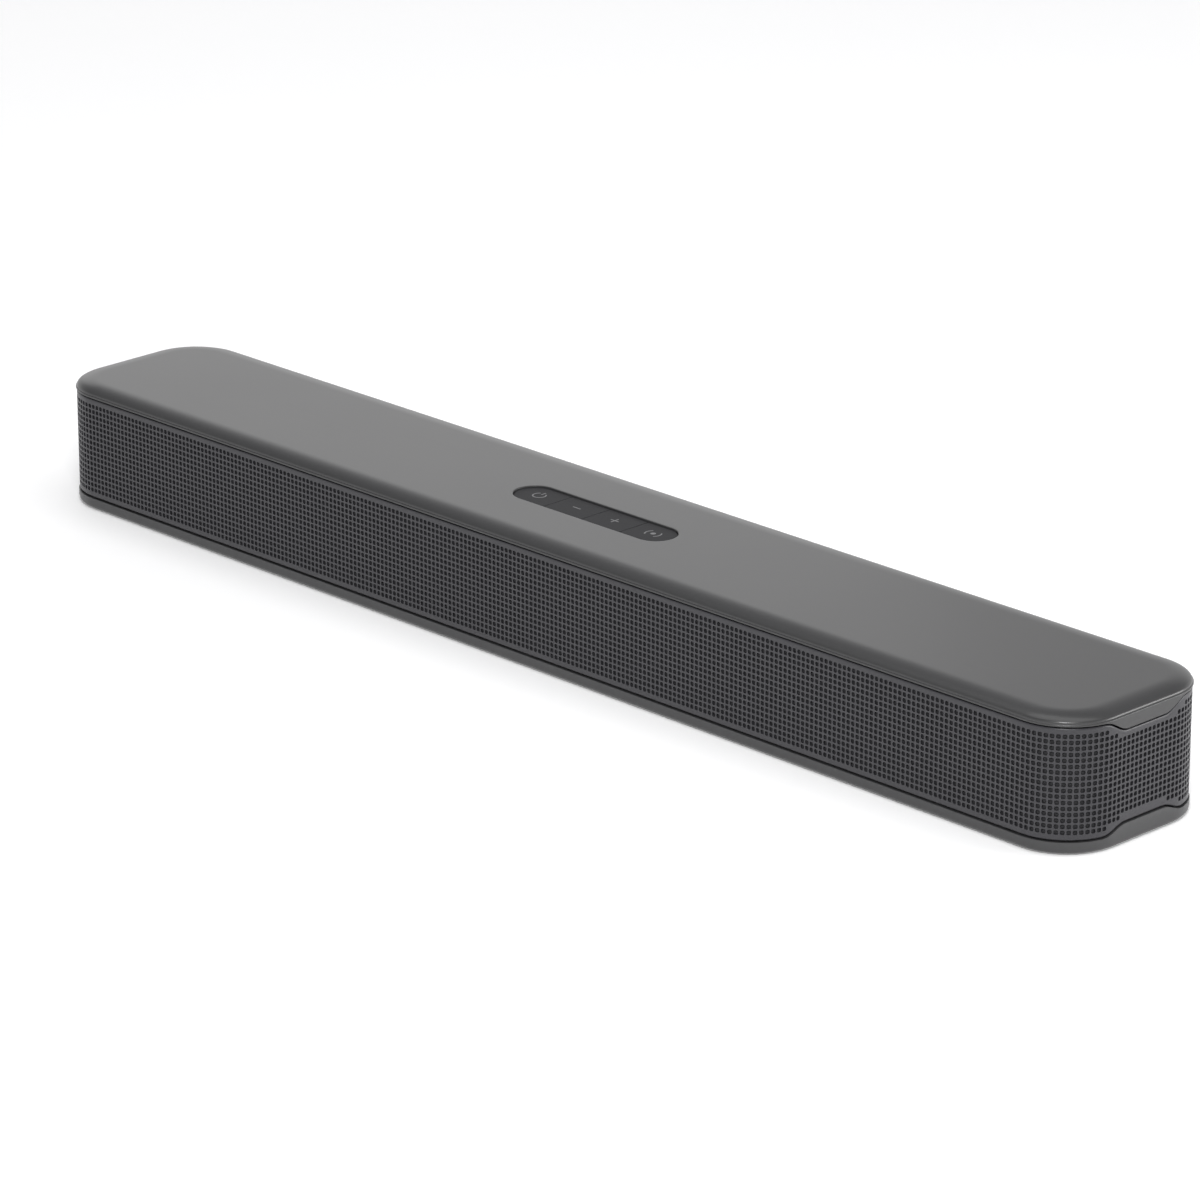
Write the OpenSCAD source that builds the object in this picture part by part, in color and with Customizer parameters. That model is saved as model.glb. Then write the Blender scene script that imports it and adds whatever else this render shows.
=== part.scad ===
// Compact television soundbar, 2.0 channel, with wrap-round grille and rear bass ports.
// Millimetres. Origin at the middle of the footprint on the table, X along the length,
// -Y towards the listener, +Z up. "left" is the -X side, as seen by the listener.

/* [Overall size] */
// Length of the bar along X
body_l = 614; // [560:1:760]
// Depth from front to back
body_d = 88; // [86:1:112]
// Height from the table to the top face
body_h = 58; // [57:1:76]
// Radius of the upright corners seen from above
corner_r = 26; // [20:1:32]
// Width of the rolled edge round the top cover
edge_w = 10; // [5:0.5:14]
// Drop of the rolled edge below the top face
edge_h = 3.2; // [2:0.1:4]

/* [Shell] */
// Wall of the moulded cover, chassis and rear panel
wall = 2.5; // [2:0.1:3]
// Height of the cover's plain lip under the top face, at the front
lip_hi = 4.2; // [3:0.1:8]
// Height of the chassis lip above the table, at the front
lip_lo = 5.8; // [4:0.1:8]
// How far the cover's lip dips at each end face
dip_hi = 4.9; // [2:0.1:7]
// How far the chassis lip rises at each end face
rise_lo = 3.4; // [2:0.1:6]
// Shadow gap between lips and grille
seam_gap = 0.6; // [0.3:0.1:1.2]
// Thickness of the perforated steel sheet
grille_t = 0.8; // [0.6:0.1:1.2]
// Height the feet stand out of the floor
foot_h = 0.8; // [0.5:0.1:2]
// Radius of each foot
foot_r = 6; // [4:0.5:9]

/* [Keypad] */
// Length of the recessed keypad
pad_l = 92; // [76:1:114]
// Width of the recessed keypad
pad_w = 19; // [14:1:24]
// Depth from the top face down to the keys
pad_deep = 0.7; // [0.4:0.1:1.5]
// Key travel
key_stroke = 0.4; // [0.2:0.05:0.5]
// Clearance round each key
key_gap = 0.3; // [0.2:0.05:0.5]

/* [Loudspeakers] */
// Distance of each drive unit from the middle
driver_x = 195; // [190:1:205]
// Length of the racetrack opening in the basket
driver_l = 74; // [60:1:78]
// Height of the racetrack opening in the basket
driver_w = 38; // [32:1:40]
// Cone travel each way
cone_stroke = 2; // [1:0.25:2.5]
// Radius of the magnet ring
magnet_r = 22; // [18:0.5:24]
// Inner radius of each bass port
port_r = 12; // [9:0.5:14]
// Length of each bass port tube
port_l = 48; // [30:1:60]

/* [Rear] */
// Width of the connector bay
bay_w = 132; // [128:1:150]
// Height of the connector bay
bay_h = 30; // [26:1:36]
// Depth of the connector bay
bay_deep = 17.6; // [12:0.1:22]
// Spacing of the two wall-mount inserts
mount_pitch = 360; // [300:10:400]

/* [Hidden] */
yf = -body_d / 2;
yb = body_d / 2;
arc_n = 12;
top_t = wall;
floor_z = foot_h + wall;
under_z = body_h - top_t;
seam_hi = body_h - lip_hi;
seam_lo = lip_lo;
run_out = body_d / 2 - 20;
run_in = body_d / 2 - 33;
seam_n = 18;
skin = 0.4;
ledge = 2;
mid_z = (floor_z + under_z) / 2;
grille_end = body_l / 2 - corner_r - 6;
rear_half = grille_end - skin;
baffle_t = 3;
baffle_f = yf + 8;
baffle_b = baffle_f + baffle_t;
bay_y = yb - skin - bay_deep - 2;
bay_face = bay_y + 2;
mouth = bay_face + 0.4;
face_half = bay_w / 2 + 3;
part_x = 110;
part_t = 2.5;
end_x = rear_half - 6.6;
port_x = end_x - 22;
screw_r = 1.6;
post_r = 5;
post_top = 22;
boss_r = 4;
board_top = 17;
board_t = 1.6;
board_b = bay_y - 0.6;
board_f = board_b - 48;
main_x0 = -64;
main_x1 = 22;
psu_x0 = 28;
psu_x1 = 100;
hdmi_x = -48;
opt_x = -28;
usb_x = -10;
aux_x = 8;
ac_x = 52;
bay_z0 = board_top - 5;
opt_z = board_top + 5;
flap_z = opt_z + 2.7;
key_t = 1.9;
key_top = body_h - pad_deep;
bed_top = key_top - key_t - 2 * key_stroke;
bed_t = 2;
key_pitch = (pad_l - key_gap) / 4;
kb_z = bed_top - bed_t - 6.6;
kb_post = pad_l / 2 + 4;
flange_t = 1.5;
flange_l = driver_l + 14;
flange_w = driver_w + 10;
cone_l = driver_l - 8;
cone_w = driver_w - 8;
ride = 0.3;
coil_r = 9.5;
plate_f = baffle_f + 18;
clear_y = baffle_f + cone_stroke;
post_xy = [[part_x + 18, 5], [body_l / 2 - 25, -18], [body_l / 2 - 25, 18]];
rear_screw_x = [part_x + part_t / 2, end_x + part_t / 2];
rear_screw_z = [14, body_h - 12];

// ---- shared shapes ----
function arc_pt(cx, cy, r, a) = [cx + r * cos(a), cy + r * sin(a)];
function arc_pts(cx, cy, r, a0, n) = [for (i = [0:n]) arc_pt(cx, cy, r, a0 + 90 * i / n)];
function rrect_pts(l, d, r) = concat(
    arc_pts(l / 2 - r, d / 2 - r, r, 0, arc_n),
    arc_pts(r - l / 2, d / 2 - r, r, 90, arc_n),
    arc_pts(r - l / 2, r - d / 2, r, 180, arc_n),
    arc_pts(l / 2 - r, r - d / 2, r, 270, arc_n));
function ease(t) = (1 - cos(180 * min(1, max(0, t)))) / 2;
function swell(y) = ease((run_out - abs(y)) / (run_out - run_in));
function seam_y(i) = i * run_out / seam_n;
function hi_curve(g) = [for (i = [seam_n:-1:-seam_n]) [seam_y(i), seam_hi - g - dip_hi * swell(seam_y(i))]];
function lo_curve(g) = [for (i = [-seam_n:seam_n]) [seam_y(i), seam_lo + g + rise_lo * swell(seam_y(i))]];

// plan outline of the bar, set in by "inset"
module plan(inset)
    polygon(rrect_pts(body_l - 2 * inset, body_d - 2 * inset, corner_r - inset));
module slab(inset, z0, z1)
    translate([0, 0, z0])
        linear_extrude(z1 - z0)
            plan(inset);
module ring(a, b, z0, z1) difference() {
    slab(a, z0, z1);
    slab(b, z0 - 1, z1 + 1);
}
// profile drawn in Y and Z, run the whole length of the bar
module along_x(len)
    translate([-len / 2, 0, 0])
        rotate([90, 0, 90])
            linear_extrude(len)
                children();
// shape drawn in X and Z, run from y0 to y1
module along_y(y0, y1)
    translate([0, y0, 0])
        rotate([-90, 0, 0])
            linear_extrude(y1 - y0)
                children();
module rod_y(r, y0, y1)
    translate([0, y0, 0])
        rotate([-90, 0, 0])
            cylinder(r = r, h = y1 - y0, $fn = 48);
module stadium(l, w)
    polygon(concat(
        [for (i = [0:arc_n * 2]) arc_pt((l - w) / 2, 0, w / 2, -90 + 90 * i / arc_n)],
        [for (i = [0:arc_n * 2]) arc_pt((w - l) / 2, 0, w / 2, 90 + 90 * i / arc_n)]));
module pad_rect(l, w, r)
    polygon(rrect_pts(l, w, r));
module block(x0, x1, y0, y1, z0, z1)
    translate([x0, y0, z0])
        cube([x1 - x0, y1 - y0, z1 - z0]);
module both() {
    children();
    mirror([1, 0, 0]) children();
}
module at_posts()
    both()
        for (p = post_xy)
            translate([p[0], p[1], 0])
                children();
module at_rear_screws()
    both()
        for (x = rear_screw_x, z = rear_screw_z)
            translate([x, 0, z])
                children();
module at_driver(s)
    translate([s * driver_x, 0, mid_z])
        children();
module driver_corners()
    for (a = [-1, 1], b = [-1, 1])
        translate([a * (flange_l / 2 - 6), 0, b * (flange_w / 2 - 5)])
            children();
module board_spots()
    for (x = [main_x0 + 4, main_x1 - 4, psu_x0 + 4, psu_x1 - 4], y = [board_f + 4, board_b - 4])
        translate([x, y, 0])
            children();
module at_keys()
    for (i = [-1.5:1.5])
        translate([i * key_pitch, 0, 0])
            children();
module at_feet()
    both()
        for (y = [-28, 28])
            translate([body_l / 2 - 57, y, 0])
                children();

// everything between the two seams, less a gap, all the way along
module band(g)
    along_x(body_l + 20)
        polygon(concat(
            [[-body_d, seam_lo + g]],
            lo_curve(g),
            [[body_d, seam_lo + g], [body_d, seam_hi - g]],
            hi_curve(g),
            [[-body_d, seam_hi - g]]));
module under_hi()
    along_x(body_l + 20)
        polygon(concat(
            [[-body_d, -50], [body_d, -50], [body_d, seam_hi]],
            hi_curve(0),
            [[-body_d, seam_hi]]));
module over_lo()
    along_x(body_l + 20)
        polygon(concat(
            [[-body_d, seam_lo]],
            lo_curve(0),
            [[body_d, seam_lo], [body_d, 200], [-body_d, 200]]));

// ---- top cover ----
module cover_outer() hull() {
    slab(0, seam_hi - dip_hi - 2, body_h - edge_h);
    for (i = [1:6])
        slab(edge_w * (1 - cos(15 * i)), body_h - edge_h, body_h - edge_h + edge_h * sin(15 * i));
}
module top_cover()
color([0.16, 0.16, 0.17])
difference() {
    union() {
        difference() {
            cover_outer();
            slab(wall, 0, under_z);
            under_hi();
        }
        ring(wall - 0.01, wall + ledge, seam_hi - seam_gap, under_z + 0.01);
        translate([0, 0, bed_top - bed_t])
            linear_extrude(under_z - bed_top + bed_t + 0.01)
                stadium(pad_l + 6, pad_w + 6);
        both()
            translate([kb_post, 0, kb_z + board_t])
                cylinder(r = 3.2, h = under_z - kb_z - board_t + 0.01, $fn = 32);
        at_posts()
            translate([0, 0, post_top + 0.2])
                cylinder(r = boss_r, h = under_z - post_top, $fn = 32);
    }
    translate([0, 0, bed_top])
        linear_extrude(20)
            stadium(pad_l, pad_w);
    at_keys()
        translate([0, 0, bed_top - bed_t - 1])
            cylinder(r = 2 + key_gap, h = bed_t + 2, $fn = 32);
    both()
        translate([kb_post, 0, kb_z])
            cylinder(r = 1.25, h = 6, $fn = 24);
    at_posts()
        translate([0, 0, post_top])
            cylinder(r = screw_r + 0.05, h = 14, $fn = 24);
}

// ---- keys: index 0 to 3 from left to right ----
module key_span(i)
    block((i - 2) * key_pitch + key_gap / 2, (i - 1) * key_pitch - key_gap / 2,
        -pad_w, pad_w, 0, body_h);
module key(i)
color([0.09, 0.09, 0.1])
union() {
    intersection() {
        translate([0, 0, key_top - key_t])
            linear_extrude(key_t)
                stadium(pad_l - 2 * key_gap, pad_w - 2 * key_gap);
        key_span(i);
    }
    translate([(i - 1.5) * key_pitch, 0, bed_top - bed_t - 1.2])
        cylinder(r = 2, h = key_top - bed_top + bed_t + 0.2, $fn = 32);
}

// ---- keypad electronics ----
module keypad_board()
color([0.05, 0.25, 0.12])
difference() {
    block(-kb_post - 4, kb_post + 4, -11, 11, kb_z, kb_z + board_t);
    both()
        translate([kb_post, 0, kb_z - 1])
            cylinder(r = 1.5, h = 5, $fn = 24);
}
module keypad_switches()
color([0.2, 0.2, 0.2])
at_keys() {
    block(-3, 3, -3, 3, kb_z + board_t, kb_z + board_t + 2.4);
    translate([0, 0, kb_z + board_t + 2.4])
        cylinder(r = 1.7, h = 0.8, $fn = 24);
}
module keypad_screws()
color([0.7, 0.7, 0.7])
both()
translate([kb_post, 0, 0]) {
    translate([0, 0, kb_z - 1.6])
        cylinder(r = 2.5, h = 1.6, $fn = 24);
    translate([0, 0, kb_z])
        cylinder(r = 1.2, h = 5.4, $fn = 24);
}

// ---- bottom chassis ----
module chassis_outer() hull() {
    slab(2, foot_h, foot_h + 1);
    slab(1, foot_h + 0.27, foot_h + 1);
    slab(0.27, foot_h + 1, foot_h + 1.5);
    slab(0, foot_h + 2, seam_lo + rise_lo + 2);
}
module wire_hole()
    both()
        block(part_x - 1, part_x + part_t + 1,
            baffle_b + 1.7, baffle_b + 5.3, board_top - 0.1, board_top + 2.1);
module bottom_chassis()
color([0.12, 0.12, 0.13])
difference() {
    union() {
        difference() {
            chassis_outer();
            slab(wall, floor_z, 100);
            over_lo();
        }
        ring(wall - 0.01, wall + ledge, floor_z - 0.01, seam_lo + seam_gap);
        both()
            for (x = [40, 150, 240])
                block(x - 6, x + 6, baffle_f - 1.8, baffle_f, floor_z - 0.01, floor_z + 1.9);
        at_posts()
            translate([0, 0, foot_h + 0.5])
                cylinder(r = post_r, h = post_top - foot_h - 0.5, $fn = 32);
        board_spots()
            translate([0, 0, floor_z - 0.01])
                cylinder(r = 3, h = board_top - board_t - floor_z + 0.01, $fn = 24);
    }
    at_posts()
        translate([0, 0, -1])
            cylinder(r = 3.2, h = post_top - 4 + 1, $fn = 32);
    at_posts()
        cylinder(r = screw_r + 0.3, h = post_top + 1, $fn = 24);
    board_spots()
        translate([0, 0, floor_z + 4])
            cylinder(r = 1.25, h = 20, $fn = 24);
    at_feet()
        cylinder(r = foot_r, h = foot_h + 1, $fn = 48);
    for (i = [-7:7])
        block(i * 8 - 1, i * 8 + 1, -10, 10, 0, floor_z + 1);
}
// plates that close off each loudspeaker's air chamber, with bosses for the rear screws
module bulkhead(x) {
    block(x, x + part_t, baffle_b, yb - wall - ledge - 0.2, floor_z, under_z);
    block(x, x + part_t, baffle_b, yb - wall, seam_lo + seam_gap + 0.2, seam_hi - seam_gap - 0.2);
}
module chamber_walls()
color([0.2, 0.2, 0.21])
difference() {
    both() {
        bulkhead(part_x);
        bulkhead(end_x);
        for (x = rear_screw_x, z = rear_screw_z)
            translate([x, 0, z])
                rod_y(3.5, yb - wall - 8, yb - wall);
    }
    at_rear_screws()
        rod_y(1.35, yb - wall - 7, yb);
    wire_hole();
}
module rubber_feet()
color([0.05, 0.05, 0.05])
at_feet()
cylinder(r = foot_r - 0.2, h = foot_h + 1, $fn = 48);
module chassis_screws()
color([0.7, 0.7, 0.7])
at_posts() {
    translate([0, 0, post_top - 6.2])
        cylinder(r = 2.9, h = 2.2, $fn = 24);
    translate([0, 0, post_top - 4])
        cylinder(r = screw_r, h = 16, $fn = 24);
}

// ---- rear panel ----
module port_cut()
both()
translate([port_x, 0, mid_z]) {
    rod_y(port_r + 2.2, yb - wall - 1, yb);
    rod_y(port_r + 5.2, yb - skin - 0.9, yb);
}
module at_inserts()
    both()
        translate([mount_pitch / 2, 0, mid_z])
            children();
module rear_plate(x0, x1)
    block(x0, x1, yb - wall, yb - skin, seam_lo + 0.3, seam_hi - 0.3);
module rear_panel()
color([0.1, 0.1, 0.1])
difference() {
    union() {
        rear_plate(face_half, rear_half);
        at_inserts()
            rod_y(5.5, yb - wall - 10, yb - wall + 0.01);
    }
    block(-body_l, face_half, 0, body_d, 0, body_h);
    port_cut();
    at_inserts()
        rod_y(3, yb - wall - 8, yb);
    at_rear_screws()
        rod_y(screw_r, yb - wall - 1, yb);
    at_rear_screws()
        rod_y(3, yb - skin - 1.3, yb);
}
module left_rear_panel()
    mirror([1, 0, 0])
        rear_panel();
// middle of the back: face plate with the four walls of the connector bay
module connector_frame()
color([0.11, 0.11, 0.11])
difference() {
    union() {
        rear_plate(-face_half, face_half);
        block(-bay_w / 2 - 2, bay_w / 2 + 2, bay_y, yb - wall + 0.01, bay_z0 - 2, bay_z0 + bay_h + 2);
    }
    block(-bay_w / 2, bay_w / 2, bay_y - 1, yb + 1, bay_z0, bay_z0 + bay_h);
}
// floor of the connector bay, cut for the sockets
module socket_plate()
color([0.1, 0.1, 0.1])
difference() {
    block(-bay_w / 2, bay_w / 2, bay_y, bay_face, bay_z0, bay_z0 + bay_h);
    block(hdmi_x - 7.9, hdmi_x + 7.9, bay_y - 1, yb, board_top - 0.2, board_top + 6.6);
    block(opt_x - 5.2, opt_x + 5.2, bay_y - 1, yb, board_top - 0.2, board_top + 10.2);
    block(usb_x - 7.4, usb_x + 7.4, bay_y - 1, yb, board_top - 0.2, board_top + 7.4);
    translate([aux_x, 0, opt_z])
        rod_y(4.1, bay_y - 1, yb);
    block(ac_x - 10.2, ac_x + 10.2, bay_y - 1, yb, board_top + 2.8, board_top + 17.2);
}
module rear_panel_screws()
color([0.6, 0.6, 0.6])
at_rear_screws() {
    rod_y(2.7, yb - skin - 1.3, yb - 0.2);
    rod_y(1.3, yb - wall - 6, yb - skin - 1.3);
}
module wall_inserts()
color([0.8, 0.65, 0.3])
at_inserts()
difference() {
    rod_y(2.95, yb - wall - 8, yb - skin);
    rod_y(1.65, yb - wall - 7, yb);
}

// ---- grille ----
module front_part()
    block(-body_l, body_l, -body_d, -run_out - 1, 0, body_h);
module front_grille()
color([0.1, 0.1, 0.11])
difference() {
    union() {
        intersection() {
            ring(skin, skin + grille_t, 0, body_h);
            band(seam_gap);
        }
        intersection() {
            union() {
                ring(skin, wall + 1.7, seam_lo + seam_gap, seam_lo + seam_gap + grille_t);
                ring(skin, wall + 1.7, seam_hi - seam_gap - grille_t, seam_hi - seam_gap);
            }
            front_part();
        }
    }
    block(-grille_end, grille_end, 0, body_d, 0, body_h);
}
module grille_scrim()
color([0.04, 0.04, 0.04])
difference() {
    intersection() {
        ring(skin + grille_t + 0.1, skin + grille_t + 0.5, 0, body_h);
        band(seam_gap + grille_t + 0.2);
    }
    block(-grille_end, grille_end, 0, body_d, 0, body_h);
}

// ---- baffle and drive units ----
module front_baffle()
color([0.14, 0.14, 0.15])
difference() {
    block(24 - body_l / 2, body_l / 2 - 24, baffle_f, baffle_b, floor_z, under_z);
    for (s = [-1, 1])
        at_driver(s) {
            along_y(baffle_f - 1, baffle_b + 1)
                stadium(driver_l + 4.5, driver_w + 4.5);
            driver_corners()
                rod_y(1.3, baffle_f - 1, baffle_b + 1);
        }
}
module driver_screws()
color([0.6, 0.6, 0.6])
for (s = [-1, 1])
at_driver(s)
driver_corners() {
    rod_y(2.2, baffle_f - flange_t - 1.4, baffle_f - flange_t);
    rod_y(1.2, baffle_f - flange_t, baffle_f + 5);
}
module basket(s)
color([0.25, 0.25, 0.26])
at_driver(s)
difference() {
    union() {
        along_y(baffle_f - flange_t, baffle_f)
            pad_rect(flange_l, flange_w, 7);
        hull() {
            along_y(baffle_f - 0.1, clear_y)
                stadium(driver_l + 3.5, driver_w + 3.5);
            along_y(plate_f - 2.5, plate_f - 2)
                stadium(50, 36);
        }
        along_y(plate_f - 2.5, plate_f)
            stadium(50, 36);
    }
    hull() {
        along_y(baffle_f - flange_t - 0.1, clear_y)
            stadium(driver_l + 2 * ride, driver_w + 2 * ride);
        along_y(plate_f - 2.1, plate_f - 2)
            stadium(46, 32);
    }
    rod_y(coil_r + 1.2, baffle_f, plate_f + 1);
    driver_corners()
        rod_y(1.5, baffle_f - flange_t - 1, baffle_f + 1);
    for (a = [-1, 1])
        translate([a * 21, 0, 0])
            along_y(clear_y + 3, plate_f - 4)
                pad_rect(16, 60, 2);
}
module magnet(s)
color([0.2, 0.2, 0.22])
at_driver(s) {
    difference() {
        union() {
            rod_y(magnet_r - 3, plate_f, plate_f + 4);
            rod_y(magnet_r, plate_f + 4, plate_f + 13);
            rod_y(magnet_r - 3, plate_f + 13, plate_f + 17);
        }
        rod_y(coil_r + 0.8, plate_f - 1, plate_f + 13);
    }
    rod_y(coil_r - 0.9, plate_f, plate_f + 13.01);
}
module driver_gaskets()
color([0.08, 0.08, 0.08])
for (s = [-1, 1])
at_driver(s)
difference() {
    along_y(baffle_f - flange_t - 1, baffle_f - flange_t)
        pad_rect(flange_l, flange_w, 7);
    along_y(baffle_f - flange_t - 2, baffle_f)
        stadium(driver_l + 2, driver_w + 2);
    driver_corners()
        rod_y(2.4, baffle_f - flange_t - 2, baffle_f);
}
// the cone runs from its racetrack rim back to the coil former
module cone(s)
color([0.16, 0.16, 0.17])
at_driver(s)
difference() {
    hull() {
        along_y(baffle_f - 1.4, baffle_f - 0.6)
            stadium(cone_l, cone_w);
        along_y(baffle_f + 11.2, baffle_f + 12)
            stadium(2 * coil_r + 2, 2 * coil_r + 1.9);
    }
    hull() {
        along_y(baffle_f - 2, baffle_f - 1.4)
            stadium(cone_l - 1.6, cone_w - 1.6);
        along_y(baffle_f + 10.4, baffle_f + 11.2)
            stadium(2 * coil_r + 0.6, 2 * coil_r + 0.5);
    }
    rod_y(coil_r + 0.01, baffle_f + 2, baffle_f + 20);
}
module dust_cap(s)
color([0.1, 0.1, 0.1])
at_driver(s)
intersection() {
    translate([0, baffle_f + 14, 0])
        sphere(r = 14, $fn = 48);
    rod_y(coil_r - 0.3, baffle_f - 5, baffle_f + 8.5);
    rod_y(40, baffle_f - 1, baffle_f + 8.5);
}
module surround(s)
color([0.03, 0.03, 0.03])
at_driver(s)
difference() {
    union() {
        along_y(baffle_f - 1.4, baffle_f - 0.6)
            stadium(driver_l, driver_w);
        along_y(baffle_f - 2.6, baffle_f - 1.4)
            stadium(driver_l - 1.6, driver_w - 1.6);
        along_y(baffle_f - 3.2, baffle_f - 2.6)
            stadium(driver_l - 3.2, driver_w - 3.2);
    }
    along_y(baffle_f - 5, baffle_f)
        stadium(cone_l + 0.02, cone_w + 0.02);
    along_y(baffle_f - 5, baffle_f - 2.6)
        stadium(cone_l + 1.6, cone_w + 1.6);
}
module spider(s)
color([0.6, 0.45, 0.2])
at_driver(s)
difference() {
    union() {
        rod_y(14.5, baffle_f + 13.2, baffle_f + 13.7);
        for (k = [11.5, 13.2])
        difference() {
            rod_y(k + 0.5, baffle_f + 12.6, baffle_f + 13.7);
            rod_y(k, baffle_f + 12, baffle_f + 14);
        }
    }
    rod_y(coil_r + 0.01, baffle_f + 10, baffle_f + 15);
}
module voice_coil(s)
color([0.75, 0.4, 0.2])
at_driver(s)
difference() {
    rod_y(coil_r, baffle_f + 8.6, plate_f + 6);
    rod_y(coil_r - 0.4, baffle_f + 8, plate_f + 7);
}
module port(s)
color([0.1, 0.1, 0.1])
translate([s * port_x, 0, mid_z])
difference() {
    union() {
        rod_y(port_r + 2, yb - skin - port_l, yb - skin);
        rod_y(port_r + 5, yb - skin - 0.9, yb - skin + 0.1);
    }
    rod_y(port_r, yb - skin - port_l - 1, yb);
    translate([0, yb - skin - 2.9, 0])
        rotate([-90, 0, 0])
            cylinder(r1 = port_r, r2 = port_r + 1.6, h = 3.2, $fn = 48);
}

// ---- electronics ----
module pcb(x0, x1)
difference() {
    block(x0, x1, board_f, board_b, board_top - board_t, board_top);
    board_spots()
        translate([0, 0, board_top - 3])
            cylinder(r = 1.5, h = 5, $fn = 24);
}
module main_board()
color([0.05, 0.25, 0.12])
pcb(main_x0, main_x1);
module power_board()
color([0.45, 0.35, 0.12])
pcb(psu_x0, psu_x1);
module board_screws()
color([0.7, 0.7, 0.7])
board_spots() {
    translate([0, 0, board_top])
        cylinder(r = 2.4, h = 1.5, $fn = 24);
    translate([0, 0, board_top - 8])
        cylinder(r = 1.2, h = 8, $fn = 24);
}
module processor_chip()
color([0.05, 0.05, 0.05])
block(-28, -12, board_b - 33.4, board_b - 17.4, board_top, board_top + 1.6);
module amplifier_heat_sink()
color([0.5, 0.5, 0.52])
translate([-5, board_b - 38.4, board_top])
difference() {
    cube([22, 22, 16]);
    for (i = [0:3])
        translate([2.4 + i * 4.9, -1, 4])
            cube([2.5, 24, 13]);
}
module filter_coils()
color([0.2, 0.2, 0.2])
for (i = [0:2])
translate([-61.5 + 9 * i, board_b - 20.9, board_top])
cube([7, 7, 5]);
module board_capacitors()
color([0.1, 0.1, 0.3])
for (i = [0:2])
translate([-50 + 9 * i, board_b - 41.4, board_top])
cylinder(r = 3.5, h = 9, $fn = 32);
module speaker_connectors()
color([0.9, 0.88, 0.8])
for (x = [-24, -12])
block(x, x + 8, board_f + 2.1, board_f + 7.1, board_top, board_top + 5);
module speaker_wire(x0) {
    block(x0, x0 + 3, baffle_b + 2, board_f + 2.1, board_top + 0.2, board_top + 1.8);
    block(x0, 143, baffle_b + 2, baffle_b + 5, board_top + 0.2, board_top + 1.8);
    block(140, 143, baffle_b + 2, plate_f + 22, board_top + 0.2, board_top + 1.8);
    block(140, driver_x - 7, plate_f + 19, plate_f + 22, board_top + 0.2, board_top + 1.8);
    block(driver_x - 10, driver_x - 7, plate_f + 17, plate_f + 22, board_top + 0.2, board_top + 1.8);
}
module speaker_wires()
color([0.5, 0.08, 0.06]) {
    speaker_wire(-9.5);
    mirror([1, 0, 0])
        speaker_wire(21.5);
}
module ribbon_cable()
color([0.8, 0.8, 0.78])
translate([-50, -10, 0]) {
    block(0, 12, 0, 0.5, board_top + 3, kb_z - 3);
    block(-1, 13, -1.5, 2, kb_z - 3, kb_z);
    block(-1, 13, -1.5, 2, board_top, board_top + 3);
}
module transformer()
color([0.85, 0.75, 0.3])
union() {
    block(35, 61, board_b - 42.4, board_b - 20.4, board_top, board_top + 5);
    block(38, 58, board_b - 40.4, board_b - 22.4, board_top + 5, board_top + 17);
    block(35, 61, board_b - 42.4, board_b - 20.4, board_top + 17, board_top + 22);
}
module bulk_capacitor()
color([0.1, 0.1, 0.3])
translate([78, board_b - 31.4, board_top])
cylinder(r = 8, h = 25, $fn = 40);

// ---- sockets in the bay ----
module ac_inlet()
color([0.07, 0.07, 0.07])
translate([ac_x, 0, board_top + 10]) {
    difference() {
        block(-10, 10, bay_y - 13, mouth, -7, 7);
        along_y(mouth - 12.5, mouth + 1)
            stadium(16, 9.6);
    }
    for (a = [-1, 1])
        translate([a * 4.3, 0, 0])
            rod_y(1.2, mouth - 12.51, mouth - 2);
    block(-8, 8, bay_y - 12, bay_y - 4, -10, -6.99);
}
module hdmi_socket()
color([0.7, 0.7, 0.72])
translate([hdmi_x, 0, board_top]) {
    difference() {
        block(-7.7, 7.7, bay_y - 9.4, mouth, 0, 6.4);
        along_y(mouth - 9.5, mouth + 1)
            polygon([[-7, -5.6], [7, -5.6], [7, -2.4], [5, -0.8], [-5, -0.8], [-7, -2.4]]);
    }
    block(-5.5, 5.5, mouth - 9.51, mouth - 1.5, 2.9, 3.9);
}
module optical_socket()
color([0.08, 0.08, 0.08])
translate([opt_x, 0, board_top])
difference() {
    block(-5, 5, bay_y - 10.6, mouth, 0, 10);
    block(-3.2, 3.2, mouth - 10, mouth + 1, 1.8, 8.2);
}
module optical_shutter()
color([0.15, 0.15, 0.15])
translate([opt_x, mouth - 1.4, flap_z])
union() {
    block(-3, 3, -0.4, 0.4, -5.5, 0);
    translate([-3, 0, 0])
        rotate([0, 90, 0])
            cylinder(r = 0.4, h = 6, $fn = 24);
}
module usb_socket()
color([0.7, 0.7, 0.72])
translate([usb_x, 0, board_top]) {
    difference() {
        block(-7.2, 7.2, bay_y - 10.6, mouth, 0, 7.2);
        block(-6.3, 6.3, mouth - 11, mouth + 1, 1, 6.2);
    }
    block(-5.5, 5.5, mouth - 11.01, mouth - 1.5, 3.8, 5.6);
}
module aux_jack()
color([0.1, 0.1, 0.1])
translate([aux_x, 0, opt_z])
difference() {
    union() {
        block(-5.5, 5.5, bay_y - 11, bay_y - 0.1, -5, 5);
        rod_y(3.9, bay_y - 0.2, mouth);
    }
    rod_y(1.8, mouth - 12, mouth + 1);
}

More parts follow.
